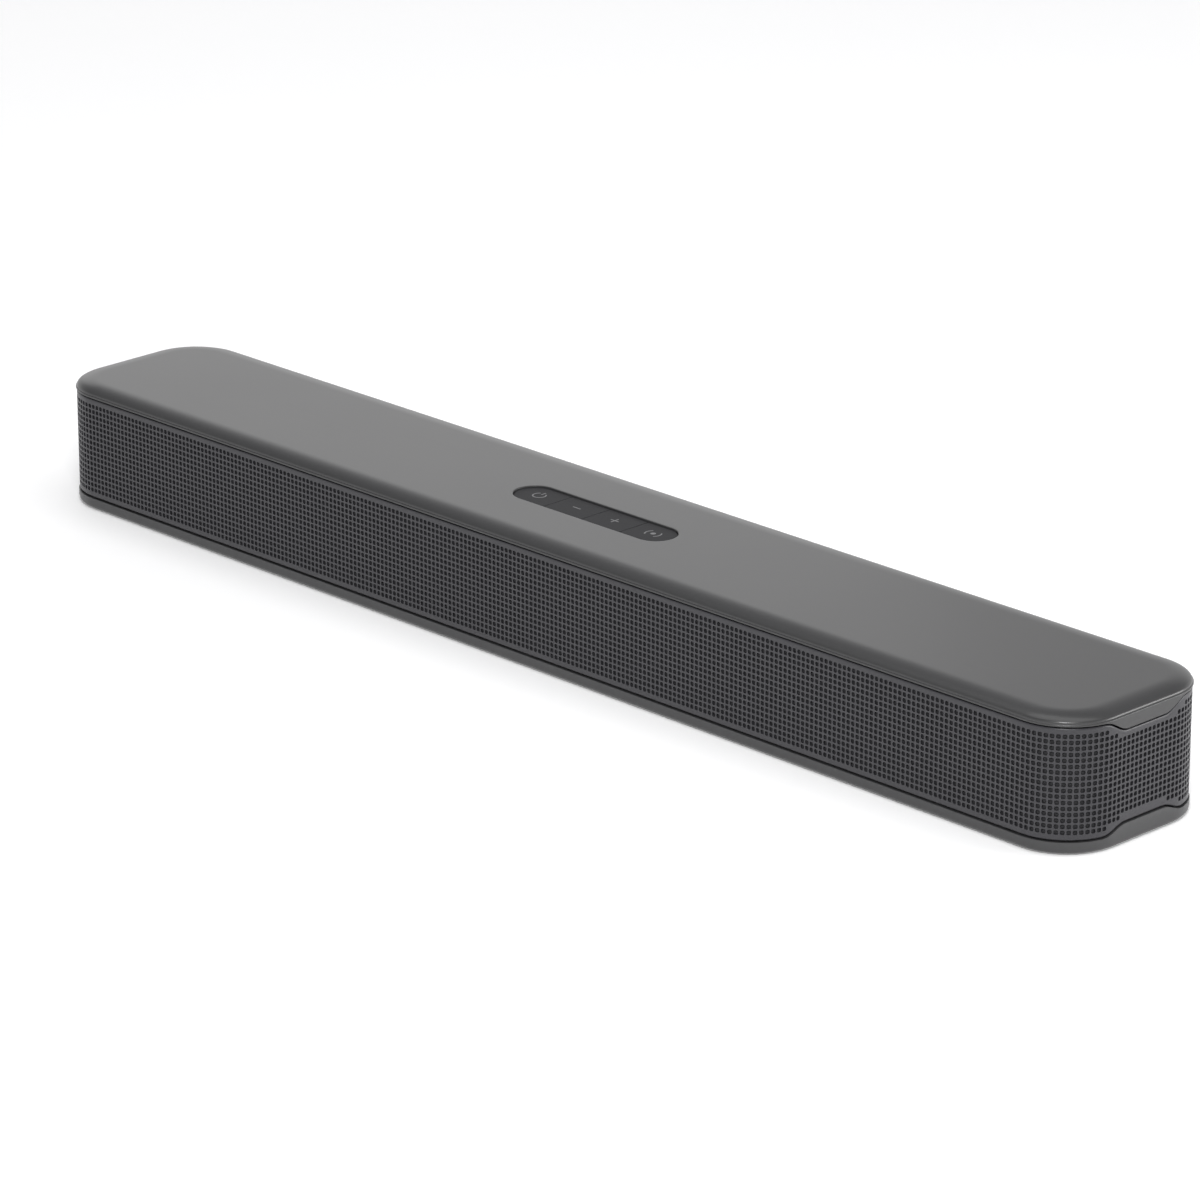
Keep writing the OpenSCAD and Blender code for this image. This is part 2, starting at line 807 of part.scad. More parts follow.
// ---- indicator and remote receiver behind the grille ----
module indicator_board()
color([0.05, 0.25, 0.12])
block(66, 98, baffle_f - 1.2, baffle_f, mid_z - 7, mid_z + 5);
module infrared_receiver()
color([0.06, 0.03, 0.05])
translate([74, 0, mid_z - 1])
union() {
    block(-3.2, 3.2, baffle_f - 3.6, baffle_f - 1.2, -3.5, 3.5);
    translate([0, baffle_f - 3.6, 0])
        intersection() {
            sphere(r = 1.8, $fn = 32);
            block(-3, 3, -3, 0.01, -3, 3);
        }
}
module status_leds()
color([0.9, 0.9, 0.85])
for (i = [0:3])
translate([82 + 4 * i, 0, mid_z - 1])
block(-1, 1, baffle_f - 2.2, baffle_f - 1.2, -0.8, 0.8);

top_cover();
key(0);  // power_button
key(1);  // volume_down_button
key(2);  // volume_up_button
key(3);  // source_button
keypad_board();
keypad_switches();
keypad_screws();
bottom_chassis();
rubber_feet();
chassis_screws();
chamber_walls();
left_rear_panel();
rear_panel();  // right_rear_panel
connector_frame();
socket_plate();
rear_panel_screws();
wall_inserts();
front_grille();
grille_scrim();
front_baffle();
driver_screws();
basket(-1);  // left_basket
magnet(-1);  // left_magnet
driver_gaskets();
cone(-1);  // left_cone
dust_cap(-1);  // left_dust_cap
surround(-1);  // left_surround
spider(-1);  // left_spider
voice_coil(-1);  // left_voice_coil
port(-1);  // left_port
basket(1);  // right_basket
magnet(1);  // right_magnet
cone(1);  // right_cone
dust_cap(1);  // right_dust_cap
surround(1);  // right_surround
spider(1);  // right_spider
voice_coil(1);  // right_voice_coil
port(1);  // right_port
main_board();
board_screws();
processor_chip();
amplifier_heat_sink();
filter_coils();
board_capacitors();
speaker_connectors();
speaker_wires();
ribbon_cable();
power_board();
transformer();
bulk_capacitor();
ac_inlet();
hdmi_socket();
optical_socket();
optical_shutter();
usb_socket();
aux_jack();
indicator_board();
infrared_receiver();
status_leds();
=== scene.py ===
import math
import bpy
import bmesh
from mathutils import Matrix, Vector


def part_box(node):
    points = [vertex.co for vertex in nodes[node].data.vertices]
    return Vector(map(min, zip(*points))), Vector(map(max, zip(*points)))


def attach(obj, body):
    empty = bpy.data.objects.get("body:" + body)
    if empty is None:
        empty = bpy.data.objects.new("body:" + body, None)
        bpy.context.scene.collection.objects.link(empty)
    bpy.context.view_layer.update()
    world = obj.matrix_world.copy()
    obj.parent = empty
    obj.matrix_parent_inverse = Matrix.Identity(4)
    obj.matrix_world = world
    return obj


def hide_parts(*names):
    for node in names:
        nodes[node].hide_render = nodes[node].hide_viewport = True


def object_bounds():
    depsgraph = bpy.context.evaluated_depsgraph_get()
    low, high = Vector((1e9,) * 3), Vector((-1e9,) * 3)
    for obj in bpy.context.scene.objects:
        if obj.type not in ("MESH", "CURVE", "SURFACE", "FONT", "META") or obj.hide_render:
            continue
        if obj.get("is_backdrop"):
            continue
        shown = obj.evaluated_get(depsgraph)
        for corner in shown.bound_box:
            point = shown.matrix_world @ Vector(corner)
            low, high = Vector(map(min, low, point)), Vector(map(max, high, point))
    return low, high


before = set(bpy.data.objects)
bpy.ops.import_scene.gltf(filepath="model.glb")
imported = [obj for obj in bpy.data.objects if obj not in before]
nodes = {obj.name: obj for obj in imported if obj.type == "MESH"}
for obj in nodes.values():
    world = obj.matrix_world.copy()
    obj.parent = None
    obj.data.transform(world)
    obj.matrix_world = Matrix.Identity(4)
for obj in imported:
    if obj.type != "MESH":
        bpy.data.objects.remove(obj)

scene = bpy.context.scene
cad_low, cad_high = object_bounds()

# ---- the view ----
# A long lens about two and a half metres off, turned to the right-hand end and a little
# above the bar. It looks at a point just to the right and in front of the bar's middle.
look_at = Vector((0.01951, -0.01611, 0.028))
turn = math.radians(45.55)
rise = math.radians(20.084)
camera_far = 2.4544
backwards = Vector((math.sin(turn) * math.cos(rise), -math.cos(turn) * math.cos(rise),
                    math.sin(rise)))
lens = bpy.data.cameras.new("long_lens")
lens.sensor_width = 36.0
lens.lens = 174.88
lens.clip_end = 200.0
camera = bpy.data.objects.new("camera", lens)
scene.collection.objects.link(camera)
camera.location = look_at + backwards * camera_far
camera.rotation_euler = (-backwards).to_track_quat("-Z", "Y").to_euler()
scene.camera = camera

# ---- the studio ----
# A white sweep: a pale painted floor that runs far back under an even white surround, dimmer
# overhead. Four softboxes light it: a small one above the lens, a wide one straight overhead
# and one low behind each end.
scene.view_settings.view_transform = "Standard"


def feed(tree, socket, value):
    """Sets a socket to a value, or links it to another node's output."""
    if isinstance(value, bpy.types.NodeSocket):
        tree.links.new(value, socket)
    else:
        socket.default_value = value


def wire(tree, node, **inputs):
    """Feeds each named input of a node; an underscore stands for a space in the name."""
    for label, value in inputs.items():
        feed(tree, node.inputs[label.replace("_", " ")], value)
    return node


def add_node(tree, kind, **inputs):
    return wire(tree, tree.nodes.new("ShaderNode" + kind), **inputs)


def new_finish(name, **inputs):
    """A new material: the finish, its node tree, and its shader with the inputs given."""
    finish = bpy.data.materials.new(name)
    finish.use_nodes = True
    tree = finish.node_tree
    return finish, tree, wire(tree, tree.nodes["Principled BSDF"], **inputs)


floor_mesh = bpy.data.meshes.new("floor")
sweep = bmesh.new()
bmesh.ops.create_circle(sweep, cap_ends=True, segments=96, radius=40.0)
sweep.to_mesh(floor_mesh)
sweep.free()
floor = bpy.data.objects.new("floor", floor_mesh)
scene.collection.objects.link(floor)
floor.location.z = cad_low.z
floor_paint, tree, shader = new_finish(
    "pale_floor_paint", Base_Color=(0.95, 0.95, 0.95, 1), Emission_Color=(1, 1, 1, 1),
    Emission_Strength=0.16, Roughness=0.75, Specular_IOR_Level=0.2)
roller = add_node(tree, "TexNoise", Scale=120.0)
roller_marks = add_node(tree, "Bump", Strength=0.02, Height=roller.outputs["Fac"])
wire(tree, shader, Normal=roller_marks.outputs["Normal"])
floor_mesh.materials.append(floor_paint)
floor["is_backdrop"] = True

surround = bpy.data.worlds.new("white_surround")
scene.world = surround
surround.use_nodes = True
sky = surround.node_tree
sky.nodes.clear()
way = add_node(sky, "TexCoord")
height = add_node(sky, "SeparateXYZ", Vector=way.outputs["Generated"])
dimmer = add_node(sky, "ValToRGB", Fac=height.outputs["Z"])
dimmer.color_ramp.interpolation = "EASE"
dimmer.color_ramp.elements[0].position = 0.31
dimmer.color_ramp.elements[0].color = (0.92, 0.92, 0.92, 1)
dimmer.color_ramp.elements[1].position = 0.50
dimmer.color_ramp.elements[1].color = (0.33, 0.33, 0.34, 1)
lit = add_node(sky, "Background", Color=dimmer.outputs["Color"])
seen = add_node(sky, "Background", Color=(1, 1, 1, 1), Strength=1.05)
ray = add_node(sky, "LightPath")
either = add_node(sky, "MixShader", Fac=ray.outputs["Is Camera Ray"])
sky.links.new(lit.outputs[0], either.inputs[1])
sky.links.new(seen.outputs[0], either.inputs[2])
add_node(sky, "OutputWorld", Surface=either.outputs[0])


def softbox(name, place, aim, width, height, power):
    lamp = bpy.data.lights.new(name, "AREA")
    lamp.shape = "RECTANGLE"
    lamp.size = width
    lamp.size_y = height
    lamp.energy = power
    box = bpy.data.objects.new(name, lamp)
    scene.collection.objects.link(box)
    box.location = place
    box.rotation_euler = (Vector(aim) - Vector(place)).to_track_quat("-Z", "Y").to_euler()
    box.visible_camera = False


softbox("softbox_over_lens", (1.25, -1.25, 1.50), (0.28, -0.03, 0.05), 0.50, 0.20, 26.0)
softbox("softbox_behind_left", (-1.75, 1.35, 0.70), (-0.2, 0, 0.03), 1.1, 0.7, 1.1)
softbox("softbox_overhead", (0.0, 0.1, 2.6), (0, 0, 0), 3.0, 2.0, 26.0)
softbox("softbox_behind_right", (1.5, 1.2, 0.42), (0.3, 0, 0.03), 1.2, 0.6, 16.0)

# ---- bottom chassis ----
# The tray that everything is built into: black ABS, injection moulded, with the low lip that
# shows under the grille and rises at each end. Its moulding texture is a fine spark erosion.
COLOUR = "NodeSocketColor"
NUMBER = "NodeSocketFloat"


def effect(name, takes, gives):
    """A node group with named inputs and outputs: the group, its input and its output node."""
    tree = bpy.data.node_groups.new(name, "ShaderNodeTree")
    for label, kind, start in takes:
        socket = tree.interface.new_socket(label, in_out="INPUT", socket_type=kind)
        socket.default_value = start
    for label, kind in gives:
        tree.interface.new_socket(label, in_out="OUTPUT", socket_type=kind)
    return tree, tree.nodes.new("NodeGroupInput"), tree.nodes.new("NodeGroupOutput")


def place_effect(tree, group, **inputs):
    node = tree.nodes.new("ShaderNodeGroup")
    node.node_tree = group
    return wire(tree, node, **inputs)


def sum_of(tree, kind, first, second):
    """One step of arithmetic on values that change over the surface."""
    node = tree.nodes.new("ShaderNodeMath")
    node.operation = kind
    feed(tree, node.inputs[0], first)
    feed(tree, node.inputs[1], second)
    return node.outputs[0]


def blend_colours(tree, amount, first, second):
    """The first colour where amount is 0, the second where it is 1."""
    node = tree.nodes.new("ShaderNodeMix")
    node.data_type = "RGBA"
    feed(tree, node.inputs["Factor"], amount)
    feed(tree, node.inputs[6], first)
    feed(tree, node.inputs[7], second)
    return node.outputs[2]


def relief(tree, shader, height, depth, tallest):
    """Fine relief on the shader from a height, at the strength and the distance given."""
    bump = add_node(tree, "Bump", Strength=depth, Distance=tallest, Height=height)
    wire(tree, shader, Normal=bump.outputs["Normal"])


# Moulded grain: spark texture, slow changes of tone, and faint scuffs along the length.
moulded_grain, into, out = effect(
    "moulded_grain",
    (("Colour", COLOUR, (0.05, 0.05, 0.05, 1)), ("Second tone", COLOUR, (0.06, 0.06, 0.06, 1)),
     ("Grain", NUMBER, 2600.0), ("Dullness", NUMBER, 0.4), ("Variation", NUMBER, 0.06)),
    (("Colour", COLOUR), ("Roughness", NUMBER), ("Height", NUMBER)))
where = add_node(moulded_grain, "TexCoord").outputs["Object"]
spark = add_node(moulded_grain, "TexNoise", Vector=where, Scale=into.outputs["Grain"],
                 Detail=3.0, Roughness=0.65).outputs["Fac"]
slow = add_node(moulded_grain, "TexNoise", Vector=where, Scale=11.0, Detail=4.0).outputs["Fac"]
stretch = add_node(moulded_grain, "Mapping", Vector=where, Scale=(14.0, 260.0, 260.0))
scuff = add_node(moulded_grain, "TexNoise", Vector=stretch.outputs["Vector"], Scale=1.0,
                 Detail=2.0)
scuff_marks = add_node(moulded_grain, "MapRange", Value=scuff.outputs["Fac"],
                       From_Min=0.62, From_Max=0.80)
tone = sum_of(moulded_grain, "ADD", sum_of(moulded_grain, "MULTIPLY", slow, 0.7),
              sum_of(moulded_grain, "MULTIPLY", spark, 0.3))
drift = sum_of(moulded_grain, "SUBTRACT", slow, 0.5)
drift = sum_of(moulded_grain, "ADD", drift,
               sum_of(moulded_grain, "MULTIPLY", scuff_marks.outputs["Result"], 0.2))
drift = sum_of(moulded_grain, "MULTIPLY", drift, into.outputs["Variation"])
wire(moulded_grain, out, Height=spark,
     Colour=blend_colours(moulded_grain, tone, into.outputs["Colour"], into.outputs["Second tone"]),
     Roughness=sum_of(moulded_grain, "ADD", drift, into.outputs["Dullness"]))

# Rubbed edges: a broken mask along outward corners, where handling has polished them.
rubbed_edges, into, out = effect(
    "rubbed_edges", (("Reach", NUMBER, 0.53), ("Breakup", NUMBER, 400.0)), (("Mask", NUMBER),))
where = add_node(rubbed_edges, "TexCoord").outputs["Object"]
patch = add_node(rubbed_edges, "TexNoise", Vector=where, Scale=into.outputs["Breakup"])
bend = add_node(rubbed_edges, "NewGeometry")
rub_range = add_node(rubbed_edges, "MapRange", Value=bend.outputs["Pointiness"],
                     From_Min=into.outputs["Reach"],
                     From_Max=sum_of(rubbed_edges, "ADD", into.outputs["Reach"], 0.08))
wire(rubbed_edges, out, Mask=sum_of(rubbed_edges, "MULTIPLY", rub_range.outputs["Result"],
                                    patch.outputs["Fac"]))


def moulding(name, colour, second, dullness, variation, grain, depth, worn=0.0, level=0.5):
    """A moulded plastic or rubber, with its grain in the bump and rubbed corners if worn."""
    finish, tree, shader = new_finish(name, Specular_IOR_Level=level)
    skin = place_effect(tree, moulded_grain, Colour=colour + (1,), Second_tone=second + (1,),
                        Grain=grain, Dullness=dullness, Variation=variation)
    colour_now = skin.outputs["Colour"]
    if worn:
        rub = place_effect(tree, rubbed_edges)
        amount = sum_of(tree, "MULTIPLY", rub.outputs["Mask"], worn)
        lighter = tuple(min(1.0, c * 2.4 + 0.02) for c in colour) + (1,)
        colour_now = blend_colours(tree, amount, colour_now, lighter)
    wire(tree, shader, Base_Color=colour_now, Roughness=skin.outputs["Roughness"])
    relief(tree, shader, skin.outputs["Height"], depth, 0.0002)
    return finish


def finish_node(name, material):
    """Gives a CAD node that keeps its own shape its finish."""
    mesh = nodes[name].data
    mesh.materials.clear()
    mesh.materials.append(material)


def set_piece(name, mesh, material, body, crease, even):
    """A piece from a mesh, smooth except across edges sharper than crease, riding on body."""
    mesh.shade_smooth()
    mesh.set_sharp_from_angle(angle=math.radians(crease))
    mesh.materials.append(material)
    piece = bpy.data.objects.new(name, mesh)
    scene.collection.objects.link(piece)
    if even:
        flats_first = piece.modifiers.new("even_normals", "WEIGHTED_NORMAL")
        flats_first.keep_sharp = True
        flats_first.weight = 100
    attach(piece, body)
    return piece


def moulded_copy(node, name, material, body, crease=35.0, edge=0.0):
    """The node's own shape with its corners welded, shaded smooth and, with edge, rounded off."""
    source = nodes[node].data
    seen = {}
    points = []
    order = []
    for vertex in source.vertices:
        key = tuple(round(c, 6) for c in vertex.co)
        if key not in seen:
            seen[key] = len(points)
            points.append(key)
        order.append(seen[key])
    faces = []
    for face in source.polygons:
        loop = [order[v] for v in face.vertices]
        if len(set(loop)) == len(loop):
            faces.append(loop)
    mesh = bpy.data.meshes.new(name)
    mesh.from_pydata(points, [], faces)
    work = bmesh.new()
    work.from_mesh(mesh)
    bmesh.ops.dissolve_limit(work, angle_limit=math.radians(0.4), verts=work.verts,
                             edges=work.edges)
    bmesh.ops.recalc_face_normals(work, faces=work.faces)
    if edge:
        sharp = [e for e in work.edges if len(e.link_faces) == 2
                 and e.calc_face_angle(0.0) > math.radians(40)]
        bmesh.ops.bevel(work, geom=sharp, offset=edge, segments=2, profile=0.6,
                        affect="EDGES", clamp_overlap=True)
    work.to_mesh(mesh)
    work.free()
    piece = set_piece(name, mesh, material, body, crease, True)
    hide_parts(node)
    return piece


chassis_black = moulding("chassis_black", (0.030, 0.030, 0.031), (0.042, 0.042, 0.043),
                         0.40, 0.10, 2400.0, 0.12, worn=0.5)
moulded_copy("bottom_chassis", "chassis_tray", chassis_black, "cabinet", crease=40.0)

# ---- rubber feet ----
# Four round pads of black silicone, moulded with a small edge radius and pressed into
# recesses in the floor of the chassis.
foot_rubber = moulding("foot_rubber", (0.018, 0.018, 0.018), (0.030, 0.030, 0.029),
                       0.82, 0.12, 1500.0, 0.35, level=0.3)
moulded_copy("rubber_feet", "foot_pads", foot_rubber, "cabinet", edge=0.0004)

# ---- chamber walls and front baffle ----
# Moulded plates that close the two air chambers, and the board the drive units screw to.
# Unpainted black ABS, glued into the tray.
baffle_black = moulding("baffle_black", (0.035, 0.035, 0.036), (0.050, 0.050, 0.050),
                        0.55, 0.10, 1800.0, 0.2, worn=0.3)
for part in ("chamber_walls", "front_baffle"):
    finish_node(part, baffle_black)

# ---- bass ports ----
# Flared tubes that tune the two air chambers, blow moulded in black ABS and pushed
# through the back from outside.
port_black = moulding("port_black", (0.020, 0.020, 0.021), (0.030, 0.030, 0.030),
                      0.34, 0.06, 2600.0, 0.08, worn=0.4)
for side in ("left", "right"):
    moulded_copy(side + "_port", side + "_port_tube", port_black, "cabinet", edge=0.0003)

# ---- drive unit frames and magnets ----
# Pressed steel baskets with a black powder coat, each holding a ferrite ring between
# two nickel-plated steel plates.

# Powder coat: orange peel and a slow change of tone.
powder_coat, into, out = effect(
    "powder_coat",
    (("Colour", COLOUR, (0.03, 0.03, 0.03, 1)), ("Second tone", COLOUR, (0.05, 0.05, 0.05, 1)),
     ("Peel", NUMBER, 1400.0), ("Dullness", NUMBER, 0.4)),
    (("Colour", COLOUR), ("Roughness", NUMBER), ("Height", NUMBER)))
where = add_node(powder_coat, "TexCoord").outputs["Object"]
peel = add_node(powder_coat, "TexVoronoi", Vector=where, Scale=into.outputs["Peel"])
peel.feature = "SMOOTH_F1"
cloud = add_node(powder_coat, "TexNoise", Vector=where, Scale=16.0, Detail=5.0).outputs["Fac"]
lift = sum_of(powder_coat, "MULTIPLY", sum_of(powder_coat, "SUBTRACT", cloud, 0.5), 0.16)
wire(powder_coat, out, Height=peel.outputs["Distance"],
     Colour=blend_colours(powder_coat, cloud, into.outputs["Colour"], into.outputs["Second tone"]),
     Roughness=sum_of(powder_coat, "ADD", into.outputs["Dullness"], lift))


def coated_steel(name, colour, second, dullness, peel_size, depth):
    """Sheet steel under a sprayed or baked coat."""
    finish, tree, shader = new_finish(name)
    coat = place_effect(tree, powder_coat, Colour=colour + (1,), Second_tone=second + (1,),
                        Peel=peel_size, Dullness=dullness)
    wire(tree, shader, Base_Color=coat.outputs["Colour"], Roughness=coat.outputs["Roughness"])
    relief(tree, shader, coat.outputs["Height"], depth, 0.0002)
    return finish


basket_coat = coated_steel("basket_coat", (0.030, 0.030, 0.032), (0.05, 0.05, 0.052),
                           0.42, 1500.0, 0.2)
ferrite_grey = coated_steel("ferrite_grey", (0.045, 0.045, 0.05), (0.09, 0.09, 0.1),
                            0.5, 900.0, 0.35)
for side in ("left", "right"):
    moulded_copy(side + "_basket", side + "_basket_frame", basket_coat, "cabinet",
                         crease=30.0)
    finish_node(side + "_magnet", ferrite_grey)

# ---- drive unit moving parts ----
# Pressed paper cone and cap, a rubber roll at the rim, a resin-dipped cloth spider and a
# copper-wound coil; together they travel two millimetres each way.

# Drawn metal: the fine parallel lines and stains of bare or plated metal.
drawn_metal, into, out = effect(
    "drawn_metal",
    (("Colour", COLOUR, (0.6, 0.6, 0.6, 1)), ("Stain", COLOUR, (0.4, 0.38, 0.35, 1)),
     ("Dullness", NUMBER, 0.3)),
    (("Colour", COLOUR), ("Roughness", NUMBER), ("Height", NUMBER)))
where = add_node(drawn_metal, "TexCoord").outputs["Object"]
drawn_out = add_node(drawn_metal, "Mapping", Vector=where, Scale=(900.0, 60.0, 2400.0))
lines = add_node(drawn_metal, "TexNoise", Vector=drawn_out.outputs["Vector"], Scale=1.0,
                 Detail=3.0).outputs["Fac"]
stain = add_node(drawn_metal, "TexNoise", Vector=where, Scale=90.0, Detail=4.0)
stain_range = add_node(drawn_metal, "MapRange", Value=stain.outputs["Fac"],
                       From_Min=0.45, From_Max=0.80)
haze = sum_of(drawn_metal, "MULTIPLY", lines, 0.14)
wire(drawn_metal, out, Height=lines,
     Colour=blend_colours(drawn_metal, stain_range.outputs["Result"], into.outputs["Colour"],
                          into.outputs["Stain"]),
     Roughness=sum_of(drawn_metal, "ADD", into.outputs["Dullness"], haze))


def metal(name, colour, stained, dullness):
    """Bare or plated metal, fully metallic."""
    finish, tree, shader = new_finish(name, Metallic=1.0)
    face = place_effect(tree, drawn_metal, Colour=colour + (1,), Stain=stained + (1,),
                        Dullness=dullness)
    wire(tree, shader, Base_Color=face.outputs["Colour"], Roughness=face.outputs["Roughness"])
    relief(tree, shader, face.outputs["Height"], 0.15, 0.0001)
    return finish


# Fibres: matted paper or woven cloth, as short crossing strands.
fibres, into, out = effect(
    "fibres",
    (("Colour", COLOUR, (0.1, 0.1, 0.1, 1)), ("Second tone", COLOUR, (0.2, 0.2, 0.2, 1)),
     ("Strand", NUMBER, 900.0)),
    (("Colour", COLOUR), ("Height", NUMBER)))
where = add_node(fibres, "TexCoord").outputs["Object"]
strand = into.outputs["Strand"]
warp = add_node(fibres, "TexWave", Vector=where, Scale=strand, Distortion=1.4)
warp.bands_direction = "X"
weft = add_node(fibres, "TexWave", Vector=where, Scale=strand, Distortion=1.4)
weft.bands_direction = "Z"
matting = add_node(fibres, "TexNoise", Vector=where, Scale=strand, Detail=5.0)
crossing = sum_of(fibres, "ADD", sum_of(fibres, "MULTIPLY", warp.outputs["Fac"],
                                        weft.outputs["Fac"]), matting.outputs["Fac"])
crossing = sum_of(fibres, "MULTIPLY", crossing, 0.6)
wire(fibres, out, Height=crossing,
     Colour=blend_colours(fibres, crossing, into.outputs["Colour"], into.outputs["Second tone"]))


def matted(name, colour, second, strand, roughness, depth):
    """Paper, felt or woven cloth."""
    finish, tree, shader = new_finish(name, Roughness=roughness, Specular_IOR_Level=0.2)
    weave = place_effect(tree, fibres, Colour=colour + (1,), Second_tone=second + (1,),
                         Strand=strand)
    wire(tree, shader, Base_Color=weave.outputs["Colour"])
    relief(tree, shader, weave.outputs["Height"], depth, 0.0002)
    return finish


cone_paper = matted("cone_paper", (0.018, 0.018, 0.019), (0.045, 0.045, 0.047), 700.0, 0.85, 0.5)
cap_paper = matted("cap_paper", (0.014, 0.014, 0.014), (0.03, 0.03, 0.03), 1100.0, 0.7, 0.3)
spider_cloth = matted("spider_cloth", (0.28, 0.17, 0.06), (0.42, 0.28, 0.11), 1300.0, 0.9, 0.6)
roll_rubber = moulding("roll_rubber", (0.012, 0.012, 0.012), (0.02, 0.02, 0.02),
                       0.6, 0.1, 1800.0, 0.15, level=0.4)
coil_copper = metal("coil_copper", (0.72, 0.33, 0.15), (0.35, 0.14, 0.06), 0.32)
for side in ("left", "right"):
    moulded_copy(side + "_cone", side + "_cone_shell", cone_paper, side + "_diaphragm",
                         crease=30.0)
    moulded_copy(side + "_surround", side + "_surround_roll", roll_rubber,
                         side + "_diaphragm", crease=50.0, edge=0.00025)
    finish_node(side + "_dust_cap", cap_paper)
    finish_node(side + "_spider", spider_cloth)
    finish_node(side + "_voice_coil", coil_copper)

# ---- gaskets and drive unit screws ----
# Die-cut foam rings that seal each flange to the baffle, and four black pan-head screws
# to a unit, driven into the baffle.
gasket_foam = matted("gasket_foam", (0.012, 0.012, 0.012), (0.03, 0.03, 0.03), 2200.0, 0.95, 0.7)
finish_node("driver_gaskets", gasket_foam)
black_screw = coated_steel("black_screw", (0.020, 0.020, 0.021), (0.04, 0.04, 0.04),
                           0.3, 2600.0, 0.15)
finish_node("driver_screws", black_screw)

# ---- circuit boards ----
# Glass-epoxy boards under green solder mask, with tinned pads and copper tracks below it.
# The mains board is the cheaper brown paper laminate.


def laminate(name, mask, track, pad):
    """Board under its solder mask: tracks as a brick pattern, round tinned pads."""
    finish, tree, shader = new_finish(name, Coat_Weight=0.3, Coat_Roughness=0.2)
    where = add_node(tree, "TexCoord").outputs["Object"]
    tracks = add_node(tree, "TexBrick", Vector=where, Scale=120.0, Mortar_Size=0.06,
                      Color1=mask + (1,), Color2=tuple(c * 0.8 for c in mask) + (1,),
                      Mortar=track + (1,))
    dots = add_node(tree, "TexVoronoi", Vector=where, Scale=260.0)
    pads = add_node(tree, "MapRange", Value=dots.outputs["Distance"],
                    From_Min=0.20, From_Max=0.16).outputs["Result"]
    gloss = add_node(tree, "MapRange", Value=pads, To_Min=0.42, To_Max=0.25)
    wire(tree, shader, Metallic=pads, Roughness=gloss.outputs["Result"],
         Base_Color=blend_colours(tree, pads, tracks.outputs["Color"], pad + (1,)))
    relief(tree, shader, tracks.outputs["Fac"], 0.25, 0.0001)
    return finish


tinned = (0.62, 0.60, 0.55)
green_board = laminate("green_board", (0.012, 0.085, 0.035), (0.03, 0.16, 0.07), tinned)
brown_board = laminate("brown_board", (0.22, 0.13, 0.045), (0.30, 0.19, 0.08), tinned)
for part in ("main_board", "indicator_board", "keypad_board"):
    finish_node(part, green_board)
finish_node("power_board", brown_board)

# ---- parts on the boards ----
# Chip, moulded coils, aluminium can capacitors in printed sleeves, nylon plugs, a ferrite
# transformer under yellow tape, and an extruded, black-anodised heat sink.
chip_black = moulding("chip_black", (0.012, 0.012, 0.013), (0.022, 0.022, 0.022),
                      0.5, 0.08, 3600.0, 0.3)
for part in ("processor_chip", "filter_coils", "keypad_switches"):
    finish_node(part, chip_black)
can_sleeve = moulding("can_sleeve", (0.010, 0.014, 0.045), (0.014, 0.020, 0.06),
                      0.3, 0.05, 700.0, 0.05)
for part in ("board_capacitors", "bulk_capacitor"):
    finish_node(part, can_sleeve)
plug_nylon = moulding("plug_nylon", (0.72, 0.68, 0.56), (0.80, 0.76, 0.64),
                      0.45, 0.08, 1400.0, 0.15)
finish_node("speaker_connectors", plug_nylon)
winding_tape = moulding("winding_tape", (0.62, 0.44, 0.05), (0.74, 0.56, 0.09),
                        0.35, 0.1, 400.0, 0.3)
finish_node("transformer", winding_tape)
sink_anodised = coated_steel("sink_anodised", (0.05, 0.05, 0.055), (0.08, 0.08, 0.085),
                             0.35, 3000.0, 0.2)
finish_node("amplifier_heat_sink", sink_anodised)

# ---- wires and ribbon ----
# A flat red-sleeved twin lead runs to each drive unit, and a grey flat ribbon goes up to
# the keypad board.
lead_red = moulding("lead_red", (0.28, 0.018, 0.014), (0.36, 0.03, 0.02), 0.4, 0.08, 900.0, 0.1)
finish_node("speaker_wires", lead_red)
ribbon_grey, tree, shader = new_finish("ribbon_grey", Roughness=0.5)
cores = add_node(tree, "TexWave", Vector=add_node(tree, "TexCoord").outputs["Object"],
                 Scale=250.0).outputs["Fac"]
wire(tree, shader, Base_Color=blend_colours(tree, cores, (0.30, 0.30, 0.29, 1),
                                            (0.48, 0.48, 0.46, 1)))
relief(tree, shader, cores, 0.5, 0.0003)
finish_node("ribbon_cable", ribbon_grey)

# ---- indicator lights and remote receiver ----
# Four white surface-mount lamps and a dark infra-red window, both cast in resin, soldered to
# a strip behind the grille.
receiver_resin = moulding("receiver_resin", (0.012, 0.006, 0.010), (0.02, 0.01, 0.015),
                          0.08, 0.03, 300.0, 0.02)
finish_node("infrared_receiver", receiver_resin)
lamp_resin = moulding("lamp_resin", (0.75, 0.73, 0.60), (0.85, 0.83, 0.72),
                      0.25, 0.05, 900.0, 0.05)
finish_node("status_leds", lamp_resin)

# ---- back of the cabinet ----
# Two flat panels and the connector frame between them, black ABS with a coarser texture
# than the cover, screwed to the chamber walls.
back_black = moulding("back_black", (0.022, 0.022, 0.023), (0.034, 0.034, 0.035),
                      0.52, 0.10, 1500.0, 0.35, worn=0.4)
for node, name in (("left_rear_panel", "back_panel_left"), ("right_rear_panel", "back_panel_right"),
                   ("connector_frame", "back_frame"), ("socket_plate", "back_socket_plate")):
    moulded_copy(node, name, back_black, "cabinet", edge=0.00025)

# ---- sockets ----
# Nickel-plated shells with black tongues and gold contacts for picture and data, a dark
# optical socket with its sprung flap, a jack with a plated collar, and the mains inlet.


